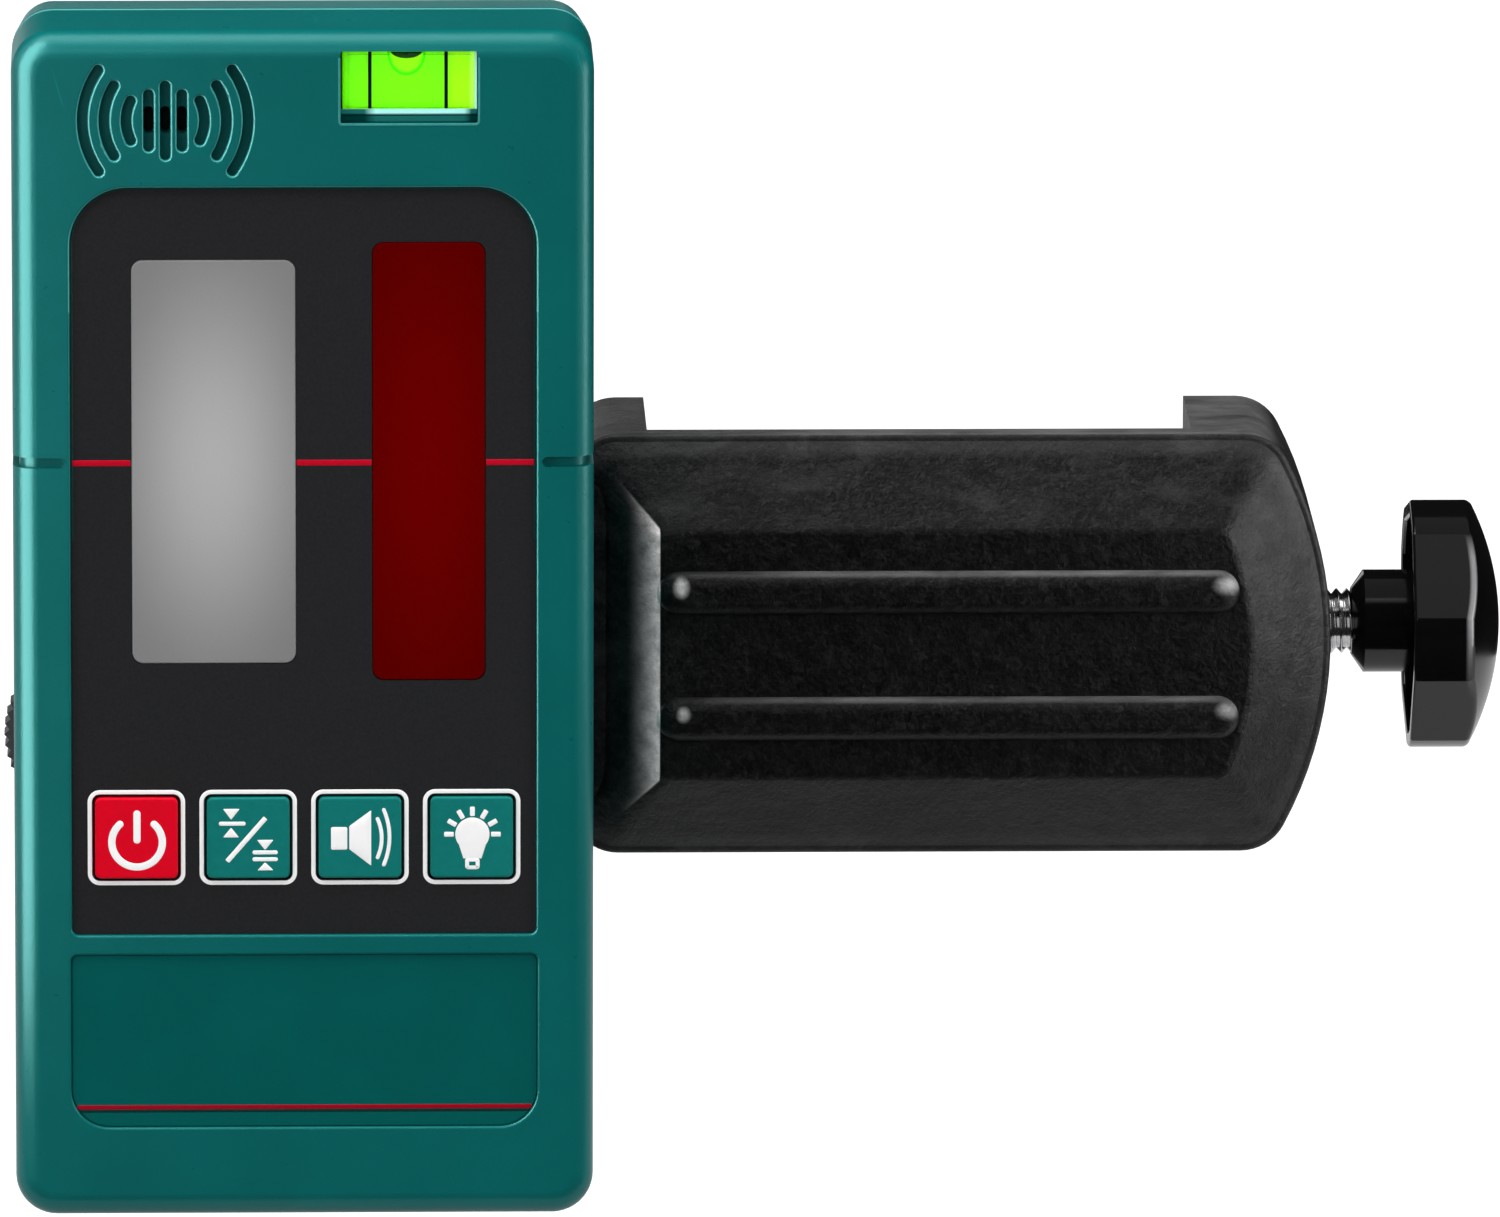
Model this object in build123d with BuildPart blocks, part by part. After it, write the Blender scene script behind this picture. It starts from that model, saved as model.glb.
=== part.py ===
from build123d import *
import os
from math import cos, radians, sin, sqrt

os.makedirs("parts", exist_ok=True)

# Laser receiver on a staff clamp, in millimetres.
# X runs to the right, Y to the back and Z up from the centre of the receiver's base.

# Fits used all over
seat_gap = 0.05
press_gap = 0.02
running_gap = 0.08
sliding_gap = 0.2
cut_past = 1.0

# Receiver case
case_width = 70.0
case_height = 146.0
front_y = -14.0
seam_y = 3.0
back_y = 14.0
case_corner = 5.0
front_round = 3.0
back_round = 1.6
back_draft = 0.9
wall = 2.0
front_wall = 3.0
recess_round = 0.35
seam_round = 0.3
boss_wall = 1.5
boss_floor = 1.0
seal_inset = 0.6
seal_width = 0.8
seal_depth = 0.8

# Black front panel and the windows in it
panel_width = 56.1
panel_low = 35.2
panel_high = 127.2
panel_low_corner = 0.8
panel_high_corner = 7.0
panel_recess = 1.6
panel_thick = 1.0
index_z = 93.5
display_size = (19.8, 49.6)
display_at = (-10.8, index_z)
sensor_size = (13.6, 53.8)
sensor_at = (15.1, index_z)
window_corner = 1.4
window_ledge = 1.2
window_hole_corner = 0.4
window_round = 0.2

# Name plate below the panel
plate_width = 56.4
plate_low = 11.3
plate_high = 32.7
plate_low_corner = 4.6
plate_high_corner = 0.8
plate_recess = 1.0
plate_thick = 0.6
plate_round = 0.15

# Index notches, cut round both long edges
notch_height = 1.3
notch_depth = 0.8
notch_end_x = 29.4
notch_reach = 10.0

# Buttons in a row, power first
button_names = ["power_button", "accuracy_button", "volume_button", "light_button"]
button_pitch = 13.5
button_z = 47.2
button_size = 10.0
button_corner = 0.7
button_hole = 10.5
button_proud = 0.5
button_edge_round = 0.3
button_flange = 12.3
button_flange_thick = 1.0
button_flange_corner = 1.0

# Sound grille
grille_at = (-16.5, 135.4)
groove_width = 1.25
groove_depth = 0.9
groove_round = 0.3
slot_pitch = 2.0
slot_lengths = (7.6, 9.7, 7.6)
sound_hole_length = 3.3
arc_shift = 0.9
arc_radii = (5.6, 8.25, 10.85)
arc_half_angles = (25.6, 31.2, 34.7)

# Vial behind its window
vial_at = (12.75, 139.4)
vial_window = (16.5, 8.8)
vial_window_corner = 0.3
vial_face_y = -13.2
vial_back_y = -3.0
vial_gap = 0.12
liquid_wall = 0.4
liquid_corner = 0.6
liquid_low_z = 136.8
liquid_high_z = 143.2
liquid_back_y = -5.0
bubble_radius = 2.25
bubble_drop = 3.2
bubble_y = -9.0

# Boards and what stands on them
board_y = (-6.0, -4.4)
board_size = (60.0, 118.0)
board_mid_z = 71.5
board_corner = 1.0
processor_size = (14.0, 14.0)
processor_at = (0.0, 88.0)
processor_thick = 1.4
chip_size = (7.0, 5.0)
chip_points = [(-16.0, 108.0), (16.0, 108.0), (16.0, 66.0)]
chip_thick = 1.2
switch_size = 6.0
switch_front_y = -8.5
plunger_radius = 1.7
plunger_front_y = -9.05
module_y = (-10.9, -8.4)
module_margin = (0.6, 1.0)
ribbon_size = (15.8, 2.0)
ribbon_drop = 23.0
sensor_board_inset = (0.4, 0.8)
sensor_board_thick = 1.2
photodiode_count = 9
photodiode_pitch = 5.6
photodiode_size = 4.2
photodiode_thick = 0.9
pin_row_size = (8.0, 2.0)
pin_row_rise = 20.0
buzzer_radius = 7.0
buzzer_back_y = -6.3
buzzer_round = 0.8

# Case screws at the corners
case_screw_x = 30.4
case_screw_z = (5.6, 140.4)
post_radius = 3.0
pilot_floor = 2.0
screw_shank_radius = 1.15
screw_hole_radius = 1.3
screw_head_radius = 2.2
screw_bore_radius = 2.3
screw_bore_depth = 2.2
screw_head_sunk = 0.5
screw_tip_y = -8.0
cross_size = (2.6, 0.6)
cross_depth = 0.7

# Battery bay and its sliding door
cell_radius = 7.25
cell_length = 50.5
cell_y = 4.0
cell_heights = (14.0, 30.0)
cell_nub_radius = 2.6
cell_nub_length = 1.2
contact_thick = 0.4
contact_size = 8.0
bay_size = (51.6, 31.4)
bay_mid_z = 22.0
bay_corner = 0.5
bay_ledge_y = 10.6
bay_frame_width = 56.0
bay_frame_z = (1.1, 40.4)
door_high = 38.3
door_low = 0.9
door_width = 52.3
door_gap = 0.15
door_round = 1.2
tongue_width = 53.9
tongue_y = (12.1, 12.95)
grip_count = 5
grip_size = (22.0, 1.0)
grip_corner = 0.45
grip_depth = 0.5
grip_low_z = 9.0
grip_pitch = 2.2

# Fixing screw that holds the receiver on the clamp
fixing_x = -25.6
fixing_z = 52.5
insert_radius = 4.5
insert_bore_radius = 3.175
insert_floor_y = 6.0
stud_radius = 3.1
stud_y = (7.0, 27.2)
stud_neck_radius = 2.7
stud_chamfer = 0.5
clip_radius = 4.5
clip_y = (14.55, 15.25)
clip_mouth = (4.6, 6.0)
clip_gap = 0.3
wheel_y = (20.5, 24.5)
wheel_radius = 10.9
wheel_root_radius = 10.3
wheel_teeth = 50
wheel_hub_radius = 6.5
wheel_hub_y = 28.0
wheel_hub_round = 1.0

# Locating pegs between the clamp arm and the rear shell
peg_points = [(25.0, 82.0), (25.0, 47.0)]
peg_radius = 1.95
peg_socket_radius = 2.1
peg_front_y = 10.4
socket_floor_y = 10.0

# Clamp body: plate with a raised pillow, two end walls that point back, and the arm
clamp_left = 32.6
clamp_right = 125.8
clamp_mid_z = 64.3
clamp_height = 52.4
clamp_corner = 6.0
clamp_end_radius = 50.0
rim_y = 17.0
plate_back_y = 20.0
jaw_back_y = 40.5
rim_step = 0.9
flat_y = 10.5
flat_left = 43.65
flat_right = 115.9
flat_height = 30.7
flat_corner = 1.5
flat_end_radius = 36.0
crest_round = 1.4
rim_round = 0.6
end_wall_round = 0.6
rib_x = (43.2, 114.2)
rib_offset_z = 7.85
rib_width = 5.3
rib_height = 2.0
rib_root = 2.0
rib_round = 1.7
fixed_jaw_x = 42.1
end_wall_x = 108.6
end_pocket = (7.4, 11.0)
end_pocket_x = 115.3
end_pocket_offset_z = 15.7
end_pocket_floor_y = 22.0
end_pocket_corner = 1.0
guide_width = 10.2
guide_floor_y = 15.4
guide_start_x = 57.0
arm_y = (14.2, 20.2)
arm_circles = [(fixing_x, fixing_z), (8.0, 80.6), (28.0, 80.6), (28.0, 50.6)]
arm_end_radius = 9.0
arm_round = 0.8
arm_box_x = (-8.0, 33.6)
arm_box_back_y = 35.4
arm_wall = 2.4
arm_rib_sunk = 1.0
arm_rib_pitch = 13.2
arm_cells = (3, 4)
arm_cells_width = 37.0

# Jaw pads
pad_size = (13.0, 35.0)
pad_mid_y = 29.0
pad_thick = 2.0
pad_sunk = 1.0
pad_groove_count = 6
pad_groove_pitch = 5.0
pad_groove_width = 1.2
pad_groove_depth = 0.5

# Clamp screw, its nut and the moving jaw
screw_y = 29.7
screw_radius = 4.0
thread_pitch = 1.25
thread_depth = 0.65
thread_crest = (0.44, 0.56)
thread_x = (73.2, 128.3)
screw_end_x = 140.0
neck_radius = 2.5
swivel_radius = 3.7
swivel_x = (69.2, 70.8)
nut_flats = 13.0
nut_thick = 6.5
nut_gap = 0.1
nut_bore_radius = 4.05
end_bore_radius = 4.35
jaw_x = (63.0, 71.0)
jaw_y = (20.3, 37.4)
jaw_height = 40.0
jaw_corner = 1.5
jaw_round = 0.5
retainer_size = (10.8, 18.0)
retainer_corner = 1.5
retainer_thick = 1.6
retainer_slot = 5.3
retainer_hole_radius = 1.1
retainer_screw_offset = 6.3
retainer_screw_radius = 0.95
retainer_screw_depth = 4.5
retainer_head_radius = 1.9
retainer_head_thick = 0.9
pilot_radius = 1.0
pilot_depth = 5.0

# Knob on the clamp screw
knob_hub_x = 128.9
knob_hub_radius = 6.3
knob_nose_radius = 4.125
knob_nose_length = 1.5
knob_rim_x = 135.9
knob_edge_x = 142.5
knob_dome_x = 147.1
knob_radius = 15.55
knob_edge_round = 0.9
knob_rim_round = 0.4
knob_wall = 1.9
knob_floor_x = 140.6
knob_hub_root = 0.5
lobe_count = 5
lobe_half_angle = 14.6
lobe_phase = 182.0
lobe_round = 0.8


def facing(y):
    """Plane at depth y that faces the front: local x is X and local y is Z."""
    return Plane(origin=(0, y, 0), x_dir=(1, 0, 0), z_dir=(0, -1, 0))


def crossing(x, y, z):
    """Plane across X at a point: local x is Y and local y is Z."""
    return Plane(origin=(x, y, z), x_dir=(0, 1, 0), z_dir=(1, 0, 0))


def screw_plane(x):
    """Plane across the clamp screw's axis at x."""
    return crossing(x, screw_y, clamp_mid_z)


def slab(size, points, y_from, y_to, corner=0.0, mode=Mode.ADD):
    """Blocks of one size between two depths, centred on (x, z) points."""
    with BuildSketch(facing(y_to)) as outline:
        with Locations(*points):
            if corner > 0:
                RectangleRounded(size[0], size[1], corner)
            else:
                Rectangle(size[0], size[1])
    extrude(outline.sketch, amount=y_to - y_from, mode=mode)


def post(radius, points, y_from, y_to, mode=Mode.ADD):
    """Round posts or holes between two depths, centred on (x, z) points."""
    with BuildSketch(facing(y_to)) as outline:
        with Locations(*points):
            Circle(radius)
    extrude(outline.sketch, amount=y_to - y_from, mode=mode)


def case_ring(inset, width, y_from, y_to, mode=Mode.ADD):
    """Ring of one width that follows the case's outline at an inset from it."""
    with BuildSketch(facing(y_to)) as outline:
        with Locations(case_mid):
            for edge, how in ((inset, Mode.ADD), (inset + width, Mode.SUBTRACT)):
                size = (case_width - 2 * edge, case_height - 2 * edge)
                RectangleRounded(size[0], size[1], case_corner - edge, mode=how)
    extrude(outline.sketch, amount=y_to - y_from, mode=mode)


def turned(profile, mode=Mode.ADD):
    """Piece turned about the clamp screw's axis from (x, radius) points."""
    with BuildSketch(screw_side) as half:
        with BuildLine():
            Polyline(*profile, close=True)
        make_face()
    revolve(half.sketch, axis=screw_axis, mode=mode)


def plate_outline(width, low, high, low_corner, high_corner):
    """Upright plate whose bottom and top corners have radii of their own."""
    reach = 0.7 * (high - low)
    with Locations((0, low + reach / 2)):
        RectangleRounded(width, reach, low_corner)
    with Locations((0, high - reach / 2)):
        RectangleRounded(width, reach, high_corner)


def clamp_outline(left, right, height, corner, end_radius):
    """Clamp plate seen from the front: square left end, bowed right end, rounded corners."""
    half = height / 2
    shoulder = right - end_radius + sqrt(end_radius**2 - half**2)
    low = clamp_mid_z - half
    high = clamp_mid_z + half
    with BuildLine() as edge:
        Polyline((shoulder, low), (left, low), (left, high), (shoulder, high))
        ThreePointArc((shoulder, high), (right, clamp_mid_z), (shoulder, low))
    make_face(edge.edges())
    fillet(vertices(), corner)


def arm_outline():
    """Arm behind the receiver: a tall root that narrows to a round end at the fixing screw."""
    with Locations(*arm_circles):
        Circle(arm_end_radius)
    make_hull()


def arm_box_outline():
    """Root of the arm, where the box with the ribs stands."""
    arm_outline()
    with Locations((sum(arm_box_x) / 2, clamp_mid_z)):
        Rectangle(arm_box_x[1] - arm_box_x[0], clamp_height, mode=Mode.INTERSECT)


def lobed_outline():
    """Knob outline: arcs on the full radius joined by flats."""
    step = 360 / lobe_count
    for index in range(lobe_count):
        start = lobe_phase + index * step - lobe_half_angle
        lobe_end = radians(start + 2 * lobe_half_angle)
        next_start = radians(start + step)
        CenterArc((0, 0), knob_radius, start, 2 * lobe_half_angle)
        Line(
            (knob_radius * cos(lobe_end), knob_radius * sin(lobe_end)),
            (knob_radius * cos(next_start), knob_radius * sin(next_start)),
        )


def pad_seat(x):
    """Outline of the shallow seat for a jaw pad, on the plane across X at x."""
    with BuildSketch(crossing(x, pad_mid_y, clamp_mid_z)) as seat:
        Rectangle(pad_size[0] + 2 * seat_gap, pad_size[1] + 2 * seat_gap)
    return seat.sketch


def recess_rims(piece):
    """Outlines of the recesses in a piece's front face, shortest first."""
    return piece.faces().sort_by(Axis.Y)[0].inner_wires().sort_by(SortBy.LENGTH)


def seam_edges(piece):
    """Outer edges of a shell at the seam."""
    seam_faces = piece.faces().filter_by_position(Axis.Y, seam_y, seam_y)
    return seam_faces.sort_by(SortBy.AREA)[-1].outer_wire().edges()


def jaw_pad(x_seat, x_face):
    """Rubber jaw pad between its seat and its face, with grooves across the face."""
    outward = 1 if x_face > x_seat else -1
    with BuildPart() as pad:
        with BuildSketch(crossing(x_seat, pad_mid_y, clamp_mid_z)):
            Rectangle(pad_size[0], pad_size[1])
        extrude(amount=x_face - x_seat)
        with BuildSketch(crossing(x_face, pad_mid_y, clamp_mid_z)):
            with GridLocations(0, pad_groove_pitch, 1, pad_groove_count):
                Rectangle(pad_size[0], pad_groove_width)
        extrude(amount=-outward * pad_groove_depth, mode=Mode.SUBTRACT)
    return pad


def keep(piece, name):
    """Label a finished piece and write it."""
    piece.part.label = name
    export_step(piece.part, f"parts/{name}.step")


case_mid = (0, case_height / 2)
inner_front_y = front_y + front_wall
back_inner_y = back_y - wall
panel_floor_y = front_y + panel_recess
panel_face_y = panel_floor_y - panel_thick
plate_floor_y = front_y + plate_recess
flange_front_y = inner_front_y + 2 * seat_gap
windows = ((display_size, display_at), (sensor_size, sensor_at))
button_points = [((index - 1.5) * button_pitch, button_z) for index in range(4)]
screw_points = [(x, z) for x in (-case_screw_x, case_screw_x) for z in case_screw_z]
retainer_points = [(0, -retainer_screw_offset), (0, retainer_screw_offset)]
fixing_at = [(fixing_x, fixing_z)]
screw_side = Plane(origin=(0, screw_y, clamp_mid_z), x_dir=(1, 0, 0), z_dir=(0, -1, 0))
screw_axis = Axis((0, screw_y, clamp_mid_z), (1, 0, 0))
inside = (case_width - 2 * wall, case_height - 2 * wall)
inside_corner = case_corner - wall

# Front shell: half of the case with the panel recess, windows, grille and index notches
with BuildPart() as front_shell:
    slab((case_width, case_height), [case_mid], front_y, seam_y, case_corner)
    fillet(front_shell.faces().sort_by(Axis.Y)[0].edges(), front_round)
    slab(inside, [case_mid], inner_front_y, seam_y, inside_corner, Mode.SUBTRACT)
    post(post_radius, screw_points, inner_front_y, seam_y)
    post(screw_shank_radius, screw_points, inner_front_y + pilot_floor, seam_y, Mode.SUBTRACT)
    with BuildSketch(facing(panel_floor_y)):
        plate_outline(panel_width, panel_low, panel_high, panel_low_corner, panel_high_corner)
    extrude(amount=panel_recess, mode=Mode.SUBTRACT)
    with BuildSketch(facing(plate_floor_y)):
        plate_outline(plate_width, plate_low, plate_high, plate_low_corner, plate_high_corner)
    extrude(amount=plate_recess, mode=Mode.SUBTRACT)
    for size, at in windows:
        opening = (size[0] - 2 * window_ledge, size[1] - 2 * window_ledge)
        slab(opening, [at], front_y, inner_front_y, window_hole_corner, Mode.SUBTRACT)
    slab((button_hole, button_hole), button_points, front_y, inner_front_y, button_corner, Mode.SUBTRACT)
    slab(vial_window, [vial_at], front_y, inner_front_y, vial_window_corner, Mode.SUBTRACT)
    # Sound grille: three slots and three arcs on each side, with holes through the slots
    slot_points = [(grille_at[0] + (index - 1) * slot_pitch, grille_at[1]) for index in range(3)]
    with BuildSketch(facing(front_y + groove_depth)):
        for point, length in zip(slot_points, slot_lengths):
            with Locations(point):
                SlotOverall(length, groove_width, rotation=90)
        for side in (-1, 1):
            facing_angle = 90 - 90 * side
            centre = Plane(origin=(grille_at[0] - side * arc_shift, grille_at[1], 0))
            for radius, half_angle in zip(arc_radii, arc_half_angles):
                start = facing_angle - half_angle
                arc = Edge.make_circle(radius, centre, start, start + 2 * half_angle)
                SlotArc(arc, groove_width)
    extrude(amount=groove_depth, mode=Mode.SUBTRACT)
    with BuildSketch(facing(inner_front_y)):
        with Locations(*slot_points):
            SlotOverall(sound_hole_length, groove_width, rotation=90)
    extrude(amount=front_wall, mode=Mode.SUBTRACT)
    # Moulded rounds on the grooves, on the two large recesses and at the seam
    fillet(recess_rims(front_shell)[:-2].edges(), groove_round)
    fillet(recess_rims(front_shell)[-2:].edges(), recess_round)
    fillet(seam_edges(front_shell), seam_round)
    # Index notches follow the rounded edge from the face round to the seam
    with BuildSketch(Plane.XY.offset(index_z - notch_height / 2)):
        for side in (-1, 1):
            with Locations((side * (notch_end_x + notch_reach / 2), (front_y + seam_y) / 2)):
                Rectangle(notch_reach, seam_y - front_y)
        with Locations((0, (front_y + notch_depth + back_y) / 2)):
            RectangleRounded(
                case_width - 2 * notch_depth,
                back_y - front_y - notch_depth,
                front_round - notch_depth,
                mode=Mode.SUBTRACT,
            )
    extrude(amount=notch_height, mode=Mode.SUBTRACT)
    notch_ends = [(-notch_end_x, index_z), (notch_end_x, index_z)]
    post(notch_height / 2, notch_ends, front_y, front_y + notch_depth, Mode.SUBTRACT)
keep(front_shell, "front_shell")

# Rear shell: back half that narrows by its draft, with the battery bay, fixing boss and peg sockets
with BuildPart() as rear_shell:
    for y, inset in ((seam_y, 0.0), (back_y, back_draft)):
        with BuildSketch(facing(y)):
            with Locations(case_mid):
                RectangleRounded(case_width - 2 * inset, case_height - 2 * inset, case_corner - inset)
    loft(ruled=True)
    fillet(rear_shell.faces().sort_by(Axis.Y)[-1].edges(), back_round)
    slab(inside, [case_mid], seam_y, back_inner_y, inside_corner, Mode.SUBTRACT)
    post(post_radius, screw_points, seam_y, back_inner_y)
    bay_frame_size = (bay_frame_width, bay_frame_z[1] - bay_frame_z[0])
    slab(bay_frame_size, [(0, sum(bay_frame_z) / 2)], bay_ledge_y, back_inner_y)
    slab(bay_size, [(0, bay_mid_z)], bay_ledge_y, back_y, bay_corner, Mode.SUBTRACT)
    # Stepped recess in which the battery door slides, open at the bottom
    recess_high = door_high + door_gap
    recess_mid = [(0, (recess_high - cut_past) / 2)]
    tongue_recess = (tongue_width + 2 * door_gap, recess_high + cut_past)
    door_recess = (door_width + 2 * door_gap, recess_high + cut_past)
    slab(tongue_recess, recess_mid, back_inner_y, tongue_y[1] + door_gap, mode=Mode.SUBTRACT)
    slab(door_recess, recess_mid, back_inner_y, back_y, mode=Mode.SUBTRACT)
    post(insert_radius + boss_wall, fixing_at, insert_floor_y - boss_floor, back_inner_y)
    post(insert_radius + seat_gap, fixing_at, insert_floor_y, back_y, Mode.SUBTRACT)
    post(peg_socket_radius + boss_wall, peg_points, socket_floor_y - boss_floor, back_inner_y)
    post(peg_socket_radius, peg_points, socket_floor_y, back_y, Mode.SUBTRACT)
    fillet(seam_edges(rear_shell), seam_round)
    post(screw_hole_radius, screw_points, seam_y, back_y, Mode.SUBTRACT)
    post(screw_bore_radius, screw_points, back_y - screw_bore_depth, back_y, Mode.SUBTRACT)
    case_ring(seal_inset, seal_width, seam_y, seam_y + seal_depth, Mode.SUBTRACT)
keep(rear_shell, "rear_shell")

with BuildPart() as case_seal:
    seal_back_y = seam_y + seal_depth - seat_gap
    case_ring(seal_inset + seat_gap, seal_width - 2 * seat_gap, seam_y, seal_back_y)
keep(case_seal, "case_seal")

with BuildPart() as case_screws:
    head_y = back_y - screw_head_sunk
    post(screw_head_radius, screw_points, back_y - screw_bore_depth, head_y)
    post(screw_shank_radius - seat_gap, screw_points, screw_tip_y, back_y - screw_bore_depth)
    slab(cross_size, screw_points, head_y - cross_depth, head_y, mode=Mode.SUBTRACT)
    slab(cross_size[::-1], screw_points, head_y - cross_depth, head_y, mode=Mode.SUBTRACT)
keep(case_screws, "case_screws")

# Front panel with openings for both windows and the buttons
with BuildPart() as front_panel:
    with BuildSketch(facing(panel_floor_y)):
        plate_outline(
            panel_width - 2 * seat_gap,
            panel_low + seat_gap,
            panel_high - seat_gap,
            panel_low_corner,
            panel_high_corner,
        )
    extrude(amount=panel_thick)
    for size, at in windows:
        opening = (size[0] + 2 * seat_gap, size[1] + 2 * seat_gap)
        slab(opening, [at], panel_face_y, panel_floor_y, window_corner, Mode.SUBTRACT)
    hole = (button_hole, button_hole)
    slab(hole, button_points, panel_face_y, panel_floor_y, button_corner, Mode.SUBTRACT)
keep(front_panel, "front_panel")

with BuildPart() as lcd_window:
    slab(display_size, [display_at], panel_face_y, panel_floor_y, window_corner)
    fillet(lcd_window.faces().sort_by(Axis.Y)[0].edges(), window_round)
keep(lcd_window, "lcd_window")

with BuildPart() as sensor_window:
    slab(sensor_size, [sensor_at], panel_face_y, panel_floor_y, window_corner)
    fillet(sensor_window.faces().sort_by(Axis.Y)[0].edges(), window_round)
keep(sensor_window, "sensor_window")

with BuildPart() as name_plate:
    with BuildSketch(facing(plate_floor_y)):
        plate_outline(
            plate_width - 2 * seat_gap,
            plate_low + seat_gap,
            plate_high - seat_gap,
            plate_low_corner,
            plate_high_corner,
        )
    extrude(amount=plate_thick)
    fillet(name_plate.faces().sort_by(Axis.Y)[0].edges(), plate_round)
keep(name_plate, "name_plate")

# Display module behind its window, with a ribbon connector down to the board
with BuildPart() as lcd_module:
    module_size = (display_size[0] + module_margin[0], display_size[1] + module_margin[1])
    slab(module_size, [display_at], module_y[0], module_y[1])
    slab(ribbon_size, [(display_at[0], display_at[1] - ribbon_drop)], module_y[1], board_y[0])
keep(lcd_module, "lcd_module")

# Sensor board with a column of photodiodes that look out through the red window
with BuildPart() as sensor_board:
    strip_size = (sensor_size[0] - sensor_board_inset[0], sensor_size[1] - sensor_board_inset[1])
    strip_back_y = module_y[0] + sensor_board_thick
    slab(strip_size, [sensor_at], module_y[0], strip_back_y)
    column = [
        (sensor_at[0], sensor_at[1] + (index - (photodiode_count - 1) / 2) * photodiode_pitch)
        for index in range(photodiode_count)
    ]
    slab((photodiode_size, photodiode_size), column, module_y[0] - photodiode_thick, module_y[0])
    slab(pin_row_size, [(sensor_at[0], sensor_at[1] + pin_row_rise)], strip_back_y, board_y[0])
keep(sensor_board, "sensor_board")

with BuildPart() as main_board:
    slab(board_size, [(0, board_mid_z)], board_y[0], board_y[1], board_corner)
    slab(processor_size, [processor_at], board_y[1], board_y[1] + processor_thick)
    slab(chip_size, chip_points, board_y[1], board_y[1] + chip_thick)
keep(main_board, "main_board")

with BuildPart() as tact_switches:
    slab((switch_size, switch_size), button_points, switch_front_y, board_y[0])
    post(plunger_radius, button_points, plunger_front_y, switch_front_y)
keep(tact_switches, "tact_switches")

with BuildPart() as buzzer:
    post(buzzer_radius, [grille_at], inner_front_y + seat_gap, buzzer_back_y)
    fillet(buzzer.faces().sort_by(Axis.Y)[-1].edges(), buzzer_round)
keep(buzzer, "buzzer")

# Vial: clear block, coloured liquid in its chamber, bubble at the top
liquid_size = (vial_window[0] - 2 * (vial_gap + liquid_wall), liquid_high_z - liquid_low_z)
liquid_at = (vial_at[0], (liquid_low_z + liquid_high_z) / 2)
liquid_front_y = vial_face_y + liquid_wall
with BuildPart() as vial_block:
    block_size = (vial_window[0] - 2 * vial_gap, vial_window[1] - 2 * vial_gap)
    slab(block_size, [vial_at], vial_face_y, vial_back_y)
    slab(liquid_size, [liquid_at], liquid_front_y, liquid_back_y, liquid_corner, Mode.SUBTRACT)
keep(vial_block, "vial_block")

with BuildPart() as vial_bubble:
    bubble_top = (vial_at[0], bubble_y, liquid_high_z)
    with BuildSketch(Plane(origin=bubble_top, x_dir=(1, 0, 0), z_dir=(0, -1, 0))):
        Ellipse(bubble_radius, bubble_drop)
        with Locations((-bubble_radius / 2, -bubble_drop / 2)):
            Rectangle(bubble_radius, bubble_drop, mode=Mode.INTERSECT)
    revolve(axis=Axis(bubble_top, (0, 0, 1)))
keep(vial_bubble, "vial_bubble")

with BuildPart() as vial_liquid:
    slab(liquid_size, [liquid_at], liquid_front_y, liquid_back_y, liquid_corner)
    add(vial_bubble.part, mode=Mode.SUBTRACT)
keep(vial_liquid, "vial_liquid")

# Buttons: a cap through the panel and a flange that stops behind the front wall
for name, point in zip(button_names, button_points):
    with BuildPart() as button:
        cap_front_y = panel_face_y - button_proud
        flange_back_y = flange_front_y + button_flange_thick
        slab((button_size, button_size), [point], cap_front_y, flange_front_y, button_corner)
        fillet(button.faces().sort_by(Axis.Y)[0].edges(), button_edge_round)
        flange = (button_flange, button_flange)
        slab(flange, [point], flange_front_y, flange_back_y, button_flange_corner)
    keep(button, name)

# Battery cells lying across the bay, their contacts, and the door behind them
with BuildPart() as battery_cells:
    nub_x = cell_length / 2 - cell_nub_length
    for z in cell_heights:
        with BuildSketch(crossing(-cell_length / 2, cell_y, z)):
            Circle(cell_radius)
        extrude(amount=cell_length - cell_nub_length)
        with BuildSketch(crossing(nub_x, cell_y, z)):
            Circle(cell_nub_radius)
        extrude(amount=cell_nub_length)
keep(battery_cells, "battery_cells")

with BuildPart() as battery_contacts:
    contact_x = cell_length / 2 + seat_gap + contact_thick / 2
    for side in (-1, 1):
        for z in cell_heights:
            with Locations((side * contact_x, cell_y, z)):
                Box(contact_thick, contact_size, contact_size)
keep(battery_contacts, "battery_contacts")

with BuildPart() as battery_door:
    door_mid = [(0, (door_high + door_low) / 2)]
    slab((tongue_width, door_high - door_low), door_mid, tongue_y[0], tongue_y[1])
    slab((door_width, door_high - door_low), door_mid, tongue_y[1], back_y)
    low_back_edge = battery_door.edges().filter_by(Axis.X).group_by(Axis.Y)[-1].sort_by(Axis.Z)[0]
    fillet(low_back_edge, door_round)
    grip_points = [(0, grip_low_z + grip_pitch * index) for index in range(grip_count)]
    slab(grip_size, grip_points, back_y - grip_depth, back_y, grip_corner, Mode.SUBTRACT)
keep(battery_door, "battery_door")

# Fixing screw: brass insert in the rear shell, steel stud, clip and knurled wheel
with BuildPart() as mount_insert:
    post(insert_radius, fixing_at, insert_floor_y + seat_gap, back_y - seat_gap)
    post(insert_bore_radius, fixing_at, insert_floor_y, back_y, Mode.SUBTRACT)
keep(mount_insert, "mount_insert")

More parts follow.
